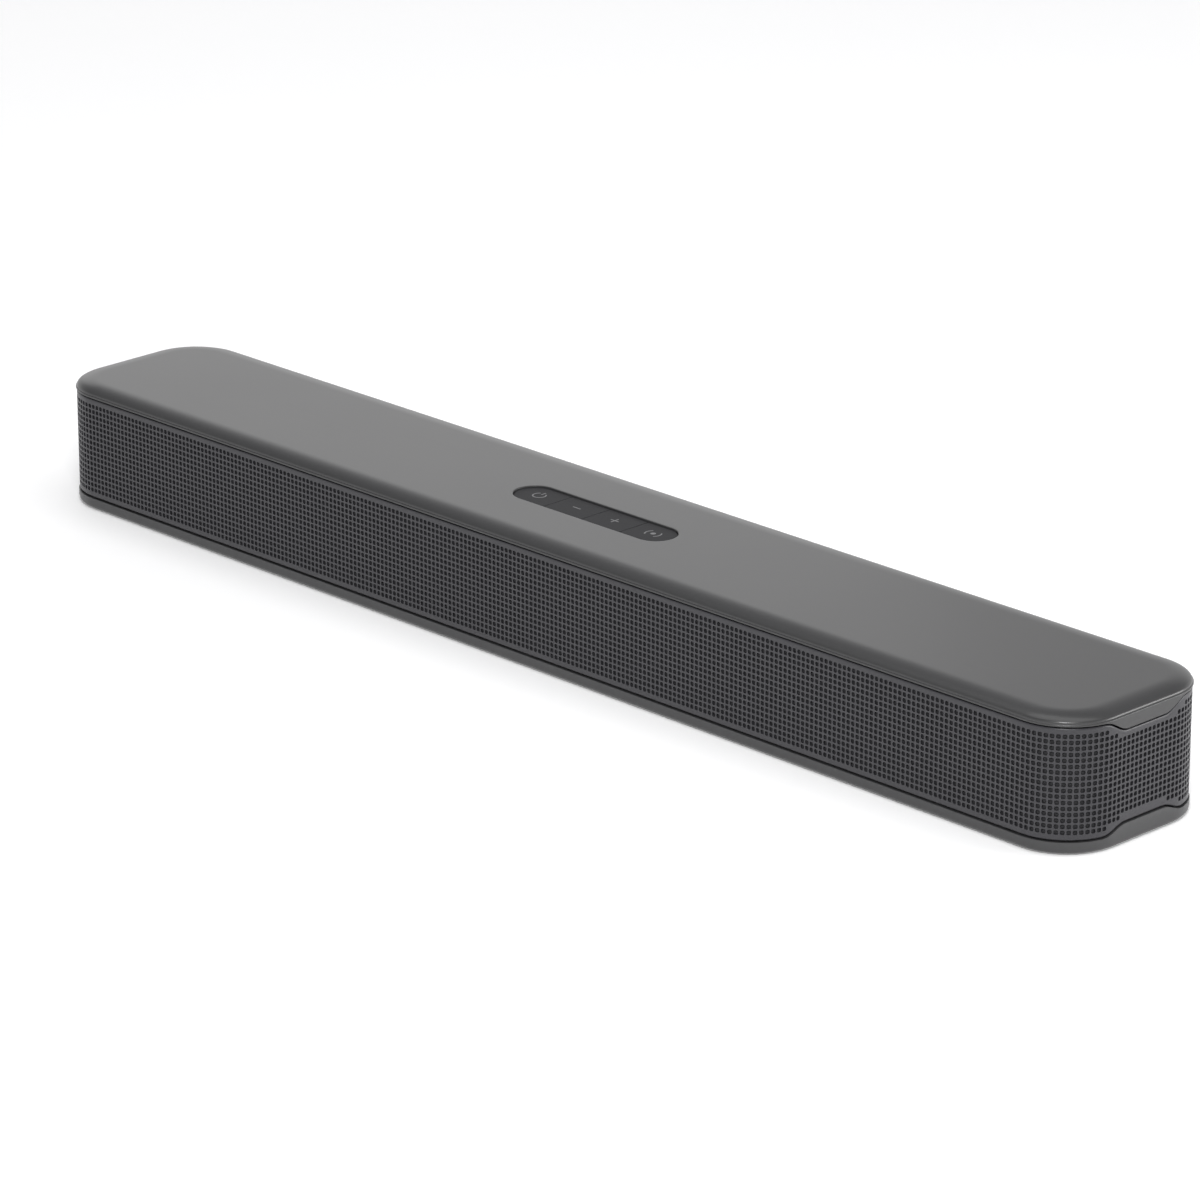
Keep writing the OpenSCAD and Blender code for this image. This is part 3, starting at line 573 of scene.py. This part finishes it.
def inside_box(tree, where, low, high):
    """1 inside a box of the object's own space, 0 outside."""
    split = add_node(tree, "SeparateXYZ", Vector=where)
    found = None
    for axis in range(3):
        past = sum_of(tree, "MULTIPLY",
                      sum_of(tree, "GREATER_THAN", split.outputs[axis], low[axis]),
                      sum_of(tree, "LESS_THAN", split.outputs[axis], high[axis]))
        found = past if found is None else sum_of(tree, "MULTIPLY", found, past)
    return found


def inside_rod(tree, where, x, z, radius, near_y, far_y):
    """1 inside a rod that lies along Y, 0 outside."""
    split = add_node(tree, "SeparateXYZ", Vector=where)
    across = sum_of(tree, "SUBTRACT", split.outputs[0], x)
    up = sum_of(tree, "SUBTRACT", split.outputs[2], z)
    far = sum_of(tree, "ADD", sum_of(tree, "MULTIPLY", across, across),
                 sum_of(tree, "MULTIPLY", up, up))
    found = sum_of(tree, "LESS_THAN", far, radius * radius)
    found = sum_of(tree, "MULTIPLY", found,
                   sum_of(tree, "GREATER_THAN", split.outputs[1], near_y))
    return sum_of(tree, "MULTIPLY", found, sum_of(tree, "LESS_THAN", split.outputs[1], far_y))


def two_part(name, metal_colour, plastic_colour, places, swap=False):
    """Plated metal with moulded plastic in the places given, or the other way round."""
    finish, tree, shader = new_finish(name)
    where = add_node(tree, "TexCoord").outputs["Object"]
    face = place_effect(tree, drawn_metal, Colour=metal_colour + (1,), Dullness=0.22,
                        Stain=tuple(c * 0.7 for c in metal_colour) + (1,))
    skin = place_effect(tree, moulded_grain, Colour=plastic_colour + (1,), Grain=2400.0,
                        Second_tone=tuple(c * 1.4 for c in plastic_colour) + (1,),
                        Dullness=0.45, Variation=0.08)
    inside = None
    for place in places:
        one = (inside_box if len(place) == 2 else inside_rod)(tree, where, *place)
        inside = one if inside is None else sum_of(tree, "MAXIMUM", inside, one)
    if swap:
        inside = sum_of(tree, "SUBTRACT", 1.0, inside)
    dull = add_node(tree, "Mix", Factor=inside)
    feed(tree, dull.inputs[2], face.outputs["Roughness"])
    feed(tree, dull.inputs[3], skin.outputs["Roughness"])
    wire(tree, shader, Metallic=sum_of(tree, "SUBTRACT", 1.0, inside), Roughness=dull.outputs[0],
         Base_Color=blend_colours(tree, inside, face.outputs["Colour"], skin.outputs["Colour"]))
    relief(tree, shader, face.outputs["Height"], 0.12, 0.0001)
    return finish


def tongue_box(node, low_z, high_z, half_x):
    """The tongue's place in a socket: heights above the shell's foot, half its width."""
    low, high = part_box(node)
    middle = (low.x + high.x) / 2
    return ((middle - half_x, low.y + 0.0008, low.z + low_z),
            (middle + half_x, high.y - 0.0009, low.z + high_z))


contact_gold = metal("contact_gold", (0.80, 0.56, 0.22), (0.60, 0.40, 0.15), 0.2)
tongue_half = 0.0056
plated = (0.60, 0.59, 0.57)
hdmi_shell = two_part("hdmi_shell", plated, (0.015, 0.015, 0.015),
                      [tongue_box("hdmi_socket", 0.00285, 0.00395, tongue_half)])
moulded_copy("hdmi_socket", "hdmi_shell", hdmi_shell, "cabinet", edge=0.0002)
usb_shell = two_part("usb_shell", plated, (0.02, 0.02, 0.02),
                     [tongue_box("usb_socket", 0.00375, 0.00565, tongue_half)])
moulded_copy("usb_socket", "usb_shell", usb_shell, "cabinet", edge=0.0002)


def add_piece(name, points, faces, material, crease=35.0):
    """A new mesh piece on the cabinet, from its points and faces."""
    mesh = bpy.data.meshes.new(name)
    mesh.from_pydata(points, [], faces)
    mesh.update()
    work = bmesh.new()
    work.from_mesh(mesh)
    bmesh.ops.recalc_face_normals(work, faces=work.faces)
    work.to_mesh(mesh)
    work.free()
    return set_piece(name, mesh, material, "cabinet", crease, False)


def contact_row(name, count, pitch, width, middle_x, underside, near_y, far_y, thick):
    """A row of sprung contacts on a tongue, each with its tip turned up out of the way."""
    points = []
    faces = []
    spine = ((near_y, 0.0), (far_y - 0.0008, 0.0), (far_y - 0.0002, thick * 0.7),
             (far_y, thick * 0.95))
    for i in range(count):
        x = middle_x + (i - (count - 1) / 2) * pitch
        start = len(points)
        for y, up in spine:
            for across in (-width / 2, width / 2):
                points.append((x + across, y, underside + up))
                points.append((x + across, y, underside - thick + up))
        for k in range(len(spine) - 1):
            a = start + 4 * k
            b = a + 4
            faces += [(a, a + 2, b + 2, b), (a + 1, b + 1, b + 3, a + 3),
                      (a, b, b + 1, a + 1), (a + 2, a + 3, b + 3, b + 2)]
        end = start + 4 * (len(spine) - 1)
        faces += [(start, start + 1, start + 3, start + 2), (end, end + 2, end + 3, end + 1)]
    add_piece(name, points, faces, contact_gold)


low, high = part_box("hdmi_socket")
contact_row("hdmi_contacts", 10, 0.001, 0.00045, (low.x + high.x) / 2, low.z + 0.0029,
            high.y - 0.0088, high.y - 0.0018, 0.00012)
low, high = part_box("usb_socket")
contact_row("usb_contacts", 4, 0.0022, 0.0012, (low.x + high.x) / 2, low.z + 0.0038,
            high.y - 0.0100, high.y - 0.0020, 0.0002)

socket_dark = moulding("socket_dark", (0.014, 0.014, 0.015), (0.024, 0.024, 0.024),
                       0.38, 0.08, 2600.0, 0.12, worn=0.3)
moulded_copy("optical_socket", "optical_body", socket_dark, "cabinet", edge=0.0002)
flap_grey = moulding("flap_grey", (0.05, 0.05, 0.052), (0.07, 0.07, 0.072),
                     0.42, 0.08, 2600.0, 0.12)
moulded_copy("optical_shutter", "optical_flap", flap_grey, "shutter_flap", edge=0.00012)

low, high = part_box("aux_jack")
collar = ((low.x + high.x) / 2, (low.z + high.z) / 2, 0.0029, high.y - 0.0009, high.y + 0.001)
jack_finish = two_part("jack_body", (0.62, 0.60, 0.56), (0.014, 0.014, 0.014), [collar],
                       swap=True)
moulded_copy("aux_jack", "jack_body", jack_finish, "cabinet", edge=0.0002)

low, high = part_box("ac_inlet")
pin_radius = 0.00126
pin_half_gap = 0.0043
pins = [((low.x + high.x) / 2 + across, high.z - 0.007, pin_radius, high.y - 0.0124,
         high.y - 0.0010) for across in (-pin_half_gap, pin_half_gap)]
inlet_finish = two_part("inlet_body", (0.70, 0.66, 0.52), (0.016, 0.016, 0.016), pins, swap=True)
moulded_copy("ac_inlet", "inlet_body", inlet_finish, "cabinet", edge=0.0003)

# ---- screws and wall inserts ----
# Zinc-plated self-tappers inside and below, eight blackened cross-head ones on the back, and
# two knurled brass inserts that take the wall bracket's bolts.
zinc = metal("zinc", (0.56, 0.56, 0.55), (0.42, 0.41, 0.38), 0.3)
for part in ("chassis_screws", "board_screws", "keypad_screws"):
    finish_node(part, zinc)


def circle(x, y, radius, steps=28):
    return [(x + radius * math.cos(2 * math.pi * i / steps),
             y + radius * math.sin(2 * math.pi * i / steps)) for i in range(steps)]


class Shell:
    """Collects rings of points, the bands between them and the flats inside them."""

    def __init__(self):
        self.work = bmesh.new()

    def ring(self, outline, height):
        """Points round an outline, all at one height or at a height worked out from y."""
        made = []
        for x, y in outline:
            z = height(y) if callable(height) else height
            made.append(self.work.verts.new((x, y, z)))
        return made

    def band(self, first, second):
        count = len(first)
        for i in range(count):
            j = (i + 1) % count
            self.work.faces.new((first[i], first[j], second[j], second[i]))

    def bands(self, rings):
        for first, second in zip(rings, rings[1:]):
            self.band(first, second)

    def flat(self, *rings):
        """Fills the area that the rings bound between them."""
        edges = []
        for ring in rings:
            for i, vertex in enumerate(ring):
                after = ring[(i + 1) % len(ring)]
                found = self.work.edges.get((vertex, after))
                edges.append(found or self.work.edges.new((vertex, after)))
        bmesh.ops.triangle_fill(self.work, use_beauty=True, use_dissolve=False, edges=edges)

    def face_back(self):
        """Turns what was built facing up so that it faces +Y, heights becoming y."""
        for vertex in self.work.verts:
            x, y, z = vertex.co
            vertex.co = (x, z, y)

    def finish(self, name, material, body):
        bmesh.ops.recalc_face_normals(self.work, faces=self.work.faces)
        mesh = bpy.data.meshes.new(name)
        self.work.to_mesh(mesh)
        self.work.free()
        return set_piece(name, mesh, material, body, 35.0, True)


def cross(x, y, reach, half):
    """A plus outline for a driver recess."""
    steps = ((half, reach), (-half, reach), (-half, half), (-reach, half), (-reach, -half),
             (-half, -half), (-half, -reach), (half, -reach), (half, -half), (reach, -half),
             (reach, half), (half, half))
    return [(x + a, y + b) for a, b in steps]


screw_low, screw_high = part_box("rear_panel_screws")
head_out = screw_high.y
head_in = head_out - 0.0015
head_wide = 0.0027
shank = 0.0013
inner_screw_x = 0.11125
# radius and y of each ring, from the start of the shank to the flat of the head
screw_profile = ((shank, screw_low.y + 0.0015), (shank, head_in), (head_wide, head_in),
                 (head_wide, head_out - 0.0006), (head_wide - 0.0001, head_out - 0.00032),
                 (head_wide - 0.00035, head_out - 0.0001), (head_wide - 0.0007, head_out))
heads = Shell()
for x in (screw_high.x - head_wide, inner_screw_x):
    for z in (screw_low.z + head_wide, screw_high.z - head_wide):
        for centre in (x, -x):
            tip = heads.ring(circle(centre, z, 0.0004, 20), screw_low.y)
            heads.flat(tip)
            rings = [tip] + [heads.ring(circle(centre, z, radius, 20), y)
                             for radius, y in screw_profile]
            heads.bands(rings)
            mouth = heads.ring(cross(centre, z, 0.00155, 0.00036), head_out)
            deep = heads.ring(cross(centre, z, 0.0011, 0.00026), head_out - 0.001)
            heads.flat(rings[-1], mouth)
            heads.band(mouth, deep)
            heads.flat(deep)
heads.face_back()
back_screws = heads.finish("back_screws", black_screw, "cabinet")
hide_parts("rear_panel_screws")
insert_brass = metal("insert_brass", (0.52, 0.38, 0.19), (0.36, 0.26, 0.12), 0.34)
finish_node("wall_inserts", insert_brass)

# ---- grille scrim ----
# A single layer of black acoustic knit, stretched and glued inside the steel so that
# nothing shows through the holes.
scrim_knit = matted("scrim_knit", (0.024, 0.024, 0.026), (0.055, 0.055, 0.058), 1600.0, 1.0, 0.5)
finish_node("grille_scrim", scrim_knit)

# ---- grille ----
# One sheet of 0.8 mm steel punched with a square grid of soft-cornered holes, rolled round both
# ends and powder coated. Plain margins follow the lips of the cover and the chassis.
grille_coat = coated_steel("grille_coat", (0.025, 0.0242, 0.028), (0.034, 0.0332, 0.038),
                           0.38, 1800.0, 0.10)
half_long = cad_high.x
half_deep = cad_high.y
corner = 0.026
sheet_in = 0.0004
sheet_thick = 0.0008
stub = 0.006
sheet_end = half_long - corner - stub
hole_pitch = 0.0025
half_pitch = hole_pitch / 2
hole_radius = 0.00098
hole_corner = 1.14  # how much further the hole reaches towards its corners
field_low = 0.00865
rows = 17
columns = 160
margin = 0.0016
rim_wide = 0.0008
rim_deep = 0.0007
cover_lip = 0.0538
cover_dip = 0.0049
chassis_lip = 0.0058
chassis_rise = 0.0034
lip_gap = 0.0006


def swell(y):
    """0 along the front, easing to 1 in the middle of each end, where the lips are deeper."""
    part = min(1.0, max(0.0, (0.024 - abs(y)) / 0.013))
    return (1 - math.cos(math.pi * part)) / 2


def sheet_path(along):
    """Point and outward direction on the left half of the sheet's outer face."""
    radius = corner - sheet_in
    arc = radius * math.pi / 2
    cx = corner - half_long
    cy = half_deep - corner
    straight = -(sheet_end + cx)
    if along <= straight:
        return -sheet_end - along, half_deep - sheet_in, 0.0, 1.0
    along -= straight
    if along <= arc:
        a = math.pi / 2 + along / radius
        return cx + radius * math.cos(a), cy + radius * math.sin(a), math.cos(a), math.sin(a)
    along -= arc
    if along <= 2 * cy:
        return sheet_in - half_long, cy - along, -1.0, 0.0
    along -= 2 * cy
    if along <= arc:
        a = math.pi + along / radius
        return cx + radius * math.cos(a), -cy + radius * math.sin(a), math.cos(a), math.sin(a)
    along -= arc
    return cx + along, sheet_in - half_deep, 0.0, -1.0


def rolled(gap):
    """How far the sheet's rim turns in, at a distance from its edge."""
    if gap >= rim_wide:
        return 0.0
    left = (rim_wide - gap) / rim_wide
    return rim_deep * (1 - math.sqrt(max(0.0, 1 - left * left)))


def sheet_levels(y):
    """Heights up the sheet at one place on its path, each with how far it is rolled in."""
    top = cover_lip - lip_gap - cover_dip * swell(y)
    low = chassis_lip + lip_gap + chassis_rise * swell(y)
    rim = (rim_wide, 0.0004, 0.00012, 0.0)
    column = [(low + g, rolled(g)) for g in reversed(rim)]
    for k in range(2 * rows + 1):
        z = field_low + half_pitch * k
        column.append((min(top - margin, max(low + margin, z)), 0.0))
    return column + [(top - g, rolled(g)) for g in rim]


def inner_face(point):
    """The point opposite on the sheet's inner face."""
    x, y, z = point
    cx = corner - half_long
    cy = half_deep - corner
    radius = corner - sheet_in
    if x < cx and abs(y) > cy:
        ax = x - cx
        ay = abs(y) - cy
        ratio = (radius - sheet_thick) / max(math.hypot(ax, ay), radius - sheet_thick)
        return cx + ax * ratio, math.copysign(cy + ay * ratio, y), z
    if x <= cx and abs(y) <= cy:
        return sheet_in + sheet_thick - half_long, y, z
    return x, math.copysign(half_deep - sheet_in - sheet_thick, y), z


def punched_half(name, mirror):
    """Half the sheet: its outer face cell by cell, its inner face, and the walls between."""
    full = stub + math.pi * (corner - sheet_in) + 2 * (half_deep - corner) + half_long - corner
    first = 0.0034
    step = (full - first) / columns / 2
    stations = [0.0, first / 2] + [first + step * i for i in range(2 * columns + 1)]
    places = [sheet_path(s) for s in stations]
    levels = [sheet_levels(place[1]) for place in places]
    points = []
    index = {}
    faces = []

    def at(i, k):
        z, roll = levels[i][k]
        key = (i, round(z, 6))
        if key not in index:
            x, y, nx, ny = places[i]
            index[key] = len(points)
            points.append((x - nx * roll, y - ny * roll, z))
        return index[key]

    def polygon(corners):
        loop = []
        for i, k in corners:
            v = at(i, k)
            if v not in loop:
                loop.append(v)
        if len(loop) > 2:
            faces.append(loop)

    def plain(j, k):
        polygon([(j, k), (j + 1, k), (j + 2, k), (j + 2, k + 1), (j + 1, k + 1), (j, k + 1)])

    for j in range(0, len(stations) - 1, 2):
        for k in range(4):
            plain(j, k)
        for row in range(rows):
            k = 4 + 2 * row
            ring = [(j + 2, k + 1), (j + 2, k + 2), (j + 1, k + 2), (j, k + 2),
                    (j, k + 1), (j, k), (j + 1, k), (j + 2, k)]
            whole = all(abs(levels[i][q][0] - (field_low + half_pitch * (q - 4))) < 1e-7
                        for i, q in ring)
            if not whole or j == 0:
                polygon(ring)
                continue
            z = field_low + hole_pitch * row + half_pitch
            hole = []
            for eighth in range(8):
                a = eighth * math.pi / 4
                reach = hole_radius * (hole_corner if eighth % 2 else 1.0)
                x, y = sheet_path(stations[j + 1] + reach * math.cos(a))[:2]
                hole.append(len(points))
                points.append((x, y, z + reach * math.sin(a)))
            outer = [at(i, q) for i, q in ring]
            for eighth in range(8):
                after = (eighth + 1) % 8
                faces.append([outer[eighth], outer[after], hole[after], hole[eighth]])
        for k in range(4 + 2 * rows, len(levels[0]) - 1):
            plain(j, k)

    # the inner face, then a wall along every open edge: the rims, the ends and each hole
    size = len(points)
    points += [inner_face(point) for point in points]
    edges = {}
    for loop in faces:
        for a, b in zip(loop, loop[1:] + loop[:1]):
            edges[(a, b)] = True
    inner_faces = [[v + size for v in reversed(loop)] for loop in faces]
    walls = [[b, a, a + size, b + size] for a, b in edges if (b, a) not in edges]
    if mirror:
        points = [(-x, y, z) for x, y, z in points]
    piece = add_piece(name, points, faces + inner_faces + walls, grille_coat, crease=40.0)
    return piece


grille_left = punched_half("grille_left_half", False)
grille_right = punched_half("grille_right_half", True)
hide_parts("front_grille")
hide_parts("front_grille")

# ---- top cover ----
# One moulding in charcoal ABS with a satin finish: flat top, elliptical roll to the sides,
# a lip that dips at the ends, and a round-ended recess for the keypad.
top_z = cad_high.z
roll_wide = 0.010
roll_deep = 0.0030
bead = 0.0005
cover_wall = 0.0025
ledge_wide = 0.002
ledge_low = cover_lip - lip_gap
under_top = top_z - cover_wall
recess_long = 0.092
recess_wide = 0.019
bed_top = 0.0546
bed_thick = 0.002
bed_rim = 0.006
key_pitch = (recess_long - 0.0003) / 4
stem_hole = 0.0023


def plan_ring(inset):
    """The bar's outline from above, set in; every ring has the same number of points."""
    r = corner - inset
    cx = half_long - corner
    cy = half_deep - corner
    arc = [(r * math.cos(i * math.pi / 48), r * math.sin(i * math.pi / 48)) for i in range(24)]
    ring = [(half_long - inset, -cy + 2 * cy * i / 36) for i in range(36)]
    ring += [(cx + near, cy + far) for near, far in arc]
    ring += [(cx - 2 * cx * i / 80, half_deep - inset) for i in range(80)]
    ring += [(-cx - far, cy + near) for near, far in arc]
    ring += [(inset - half_long, cy - 2 * cy * i / 36) for i in range(36)]
    ring += [(-cx - near, -cy - far) for near, far in arc]
    ring += [(-cx + 2 * cx * i / 80, inset - half_deep) for i in range(80)]
    ring += [(cx + far, -cy - near) for near, far in arc]
    return ring


def round_ended(length, width, steps=28):
    """A slot outline with half-round ends."""
    ring = []
    half = (length - width) / 2
    for middle, start in ((half, -math.pi / 2), (-half, math.pi / 2)):
        for i in range(steps + 1):
            a = start + math.pi * i / steps
            ring.append((middle + width / 2 * math.cos(a), width / 2 * math.sin(a)))
    return ring


def cover_edge(y):
    return cover_lip - cover_dip * swell(y)


cover = Shell()
skirt = [cover.ring(plan_ring(roll_wide + 0.004), top_z),
         cover.ring(plan_ring(roll_wide + 0.0006), top_z)]
for k in range(14, -1, -1):
    a = k * math.pi / 28
    inset = bead + (roll_wide - bead) * (1 - math.cos(a))
    skirt.append(cover.ring(plan_ring(inset), top_z - roll_deep * (1 - math.sin(a))))
for inset, drop in ((bead, 0.00010), (bead * 0.8, 0.00016), (bead * 0.45, 0.00026),
                    (bead * 0.15, 0.00042), (0.0, 0.0006)):
    skirt.append(cover.ring(plan_ring(inset), top_z - roll_deep - drop))
for inset, lift in ((0.0, 0.00026), (0.00004, 0.00016), (0.00014, 0.00006), (0.00032, 0.0)):
    skirt.append(cover.ring(plan_ring(inset), lambda y, up=lift: cover_edge(y) + up))
skirt.append(cover.ring(plan_ring(cover_wall), cover_edge))
skirt.append(cover.ring(plan_ring(cover_wall), ledge_low))
skirt.append(cover.ring(plan_ring(cover_wall + ledge_wide), ledge_low))
skirt.append(cover.ring(plan_ring(cover_wall + ledge_wide), under_top))
cover.bands(skirt)
recess = []
for grow, drop in ((0.0012, 0.0), (0.0005, 0.0), (0.00028, 0.00003), (0.00010, 0.00012),
                   (0.0, 0.0003)):
    recess.append(cover.ring(round_ended(recess_long + 2 * grow, recess_wide + 2 * grow),
                             top_z - drop))
recess.append(cover.ring(round_ended(recess_long, recess_wide), bed_top))
cover.bands(recess)
cover.flat(skirt[0], recess[0])
stems = [circle(i * key_pitch, 0, stem_hole) for i in (-1.5, -0.5, 0.5, 1.5)]
stem_tops = [cover.ring(stem, bed_top) for stem in stems]
stem_ends = [cover.ring(stem, bed_top - bed_thick) for stem in stems]
cover.flat(recess[-1], *stem_tops)
for first, second in zip(stem_tops, stem_ends):
    cover.band(first, second)
tray = round_ended(recess_long + bed_rim, recess_wide + bed_rim)
tray_low = cover.ring(tray, bed_top - bed_thick)
tray_high = cover.ring(tray, under_top)
cover.flat(tray_low, *stem_ends)
cover.band(tray_low, tray_high)
cover.flat(skirt[-1], tray_high)


def post(x, y, radius, bore, foot, head, bore_end):
    """A screw post that hangs from the cover, bored from its foot."""
    outside_low = cover.ring(circle(x, y, radius), foot)
    outside_high = cover.ring(circle(x, y, radius), head)
    bore_low = cover.ring(circle(x, y, bore), foot)
    bore_high = cover.ring(circle(x, y, bore), bore_end)
    cover.band(outside_low, outside_high)
    cover.flat(outside_high)
    cover.flat(outside_low, bore_low)
    cover.band(bore_low, bore_high)
    cover.flat(bore_high)


posts = [(0.128, 0.005), (half_long - 0.025, -0.018), (half_long - 0.025, 0.018)]
for x, y in posts + [(-x, y) for x, y in posts]:
    post(x, y, 0.004, 0.00165, 0.0222, under_top, 0.036)
for x in (-recess_long / 2 - 0.004, recess_long / 2 + 0.004):
    post(x, 0, 0.0032, 0.00125, 0.0476, 0.0526, 0.0520)
cover_charcoal = moulding("cover_charcoal", (0.030, 0.030, 0.0305), (0.037, 0.037, 0.0375),
                          0.30, 0.04, 1100.0, 0.05, worn=0.2)
wire(cover_charcoal.node_tree, cover_charcoal.node_tree.nodes["Principled BSDF"],
     Coat_Weight=0.12, Coat_Roughness=0.14)
cover_piece = cover.finish("cover_shell", cover_charcoal, "cabinet")
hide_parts("top_cover")

# ---- keypad ----
# Four soft-touch keys that fill the recess end to end, each with its printed sign:
# power, down, up and source. The print stands a hair proud of the key.
key_black = moulding("key_black", (0.022, 0.022, 0.024), (0.030, 0.030, 0.032),
                     0.62, 0.06, 2600.0, 0.12, level=0.22)
for node, name, body in (("power_button", "key_power", "power_key"),
                         ("volume_down_button", "key_down", "volume_down_key"),
                         ("volume_up_button", "key_up", "volume_up_key"),
                         ("source_button", "key_source", "source_key")):
    moulded_copy(node, name, key_black, body, edge=0.0002)

sign_grey = moulding("sign_grey", (0.15, 0.15, 0.155), (0.18, 0.18, 0.185),
                     0.5, 0.05, 3000.0, 0.05)
sign_sunk = 0.00001
sign_proud = 0.00003


def bar(x0, x1, y0, y1):
    return [(x0, y0), (x1, y0), (x1, y1), (x0, y1)]


def arc_band(inner, outer, start, end, steps=20):
    """Part of a ring about the middle of the key, between two angles in degrees."""
    ring = []
    for radius, order in ((outer, range(steps + 1)), (inner, range(steps, -1, -1))):
        for i in order:
            a = math.radians(start + (end - start) * i / steps)
            ring.append((radius * math.cos(a), radius * math.sin(a)))
    return ring


def printed(name, node, body, shapes):
    """Flat printed shapes, in millimetres about the middle of the key."""
    low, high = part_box(node)
    middle = (round((low.x + high.x) / 2, 4), 0.0005)
    shell = Shell()
    for shape in shapes:
        outline = [(middle[0] + x / 1000, middle[1] + y / 1000) for x, y in shape]
        lower = shell.ring(outline, high.z - sign_sunk)
        upper = shell.ring(outline, high.z + sign_proud)
        shell.band(lower, upper)
        shell.flat(upper)
        shell.flat(lower)
    shell.finish(name, sign_grey, body)


printed("sign_power", "power_button", "power_key",
        [arc_band(2.6, 3.2, 125, 415), bar(-0.3, 0.3, 1.2, 3.9)])
printed("sign_down", "volume_down_button", "volume_down_key", [bar(-2.3, 2.3, -0.3, 0.3)])
printed("sign_up", "volume_up_button", "volume_up_key",
        [[(-2.3, -0.3), (-0.3, -0.3), (-0.3, -2.3), (0.3, -2.3), (0.3, -0.3), (2.3, -0.3),
          (2.3, 0.3), (0.3, 0.3), (0.3, 2.3), (-0.3, 2.3), (-0.3, 0.3), (-2.3, 0.3)]])
printed("sign_source", "source_button", "source_key",
        [circle(0, 0, 1.2), arc_band(3.3, 3.9, -46, 46), arc_band(3.3, 3.9, 134, 226)])

low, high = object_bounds()
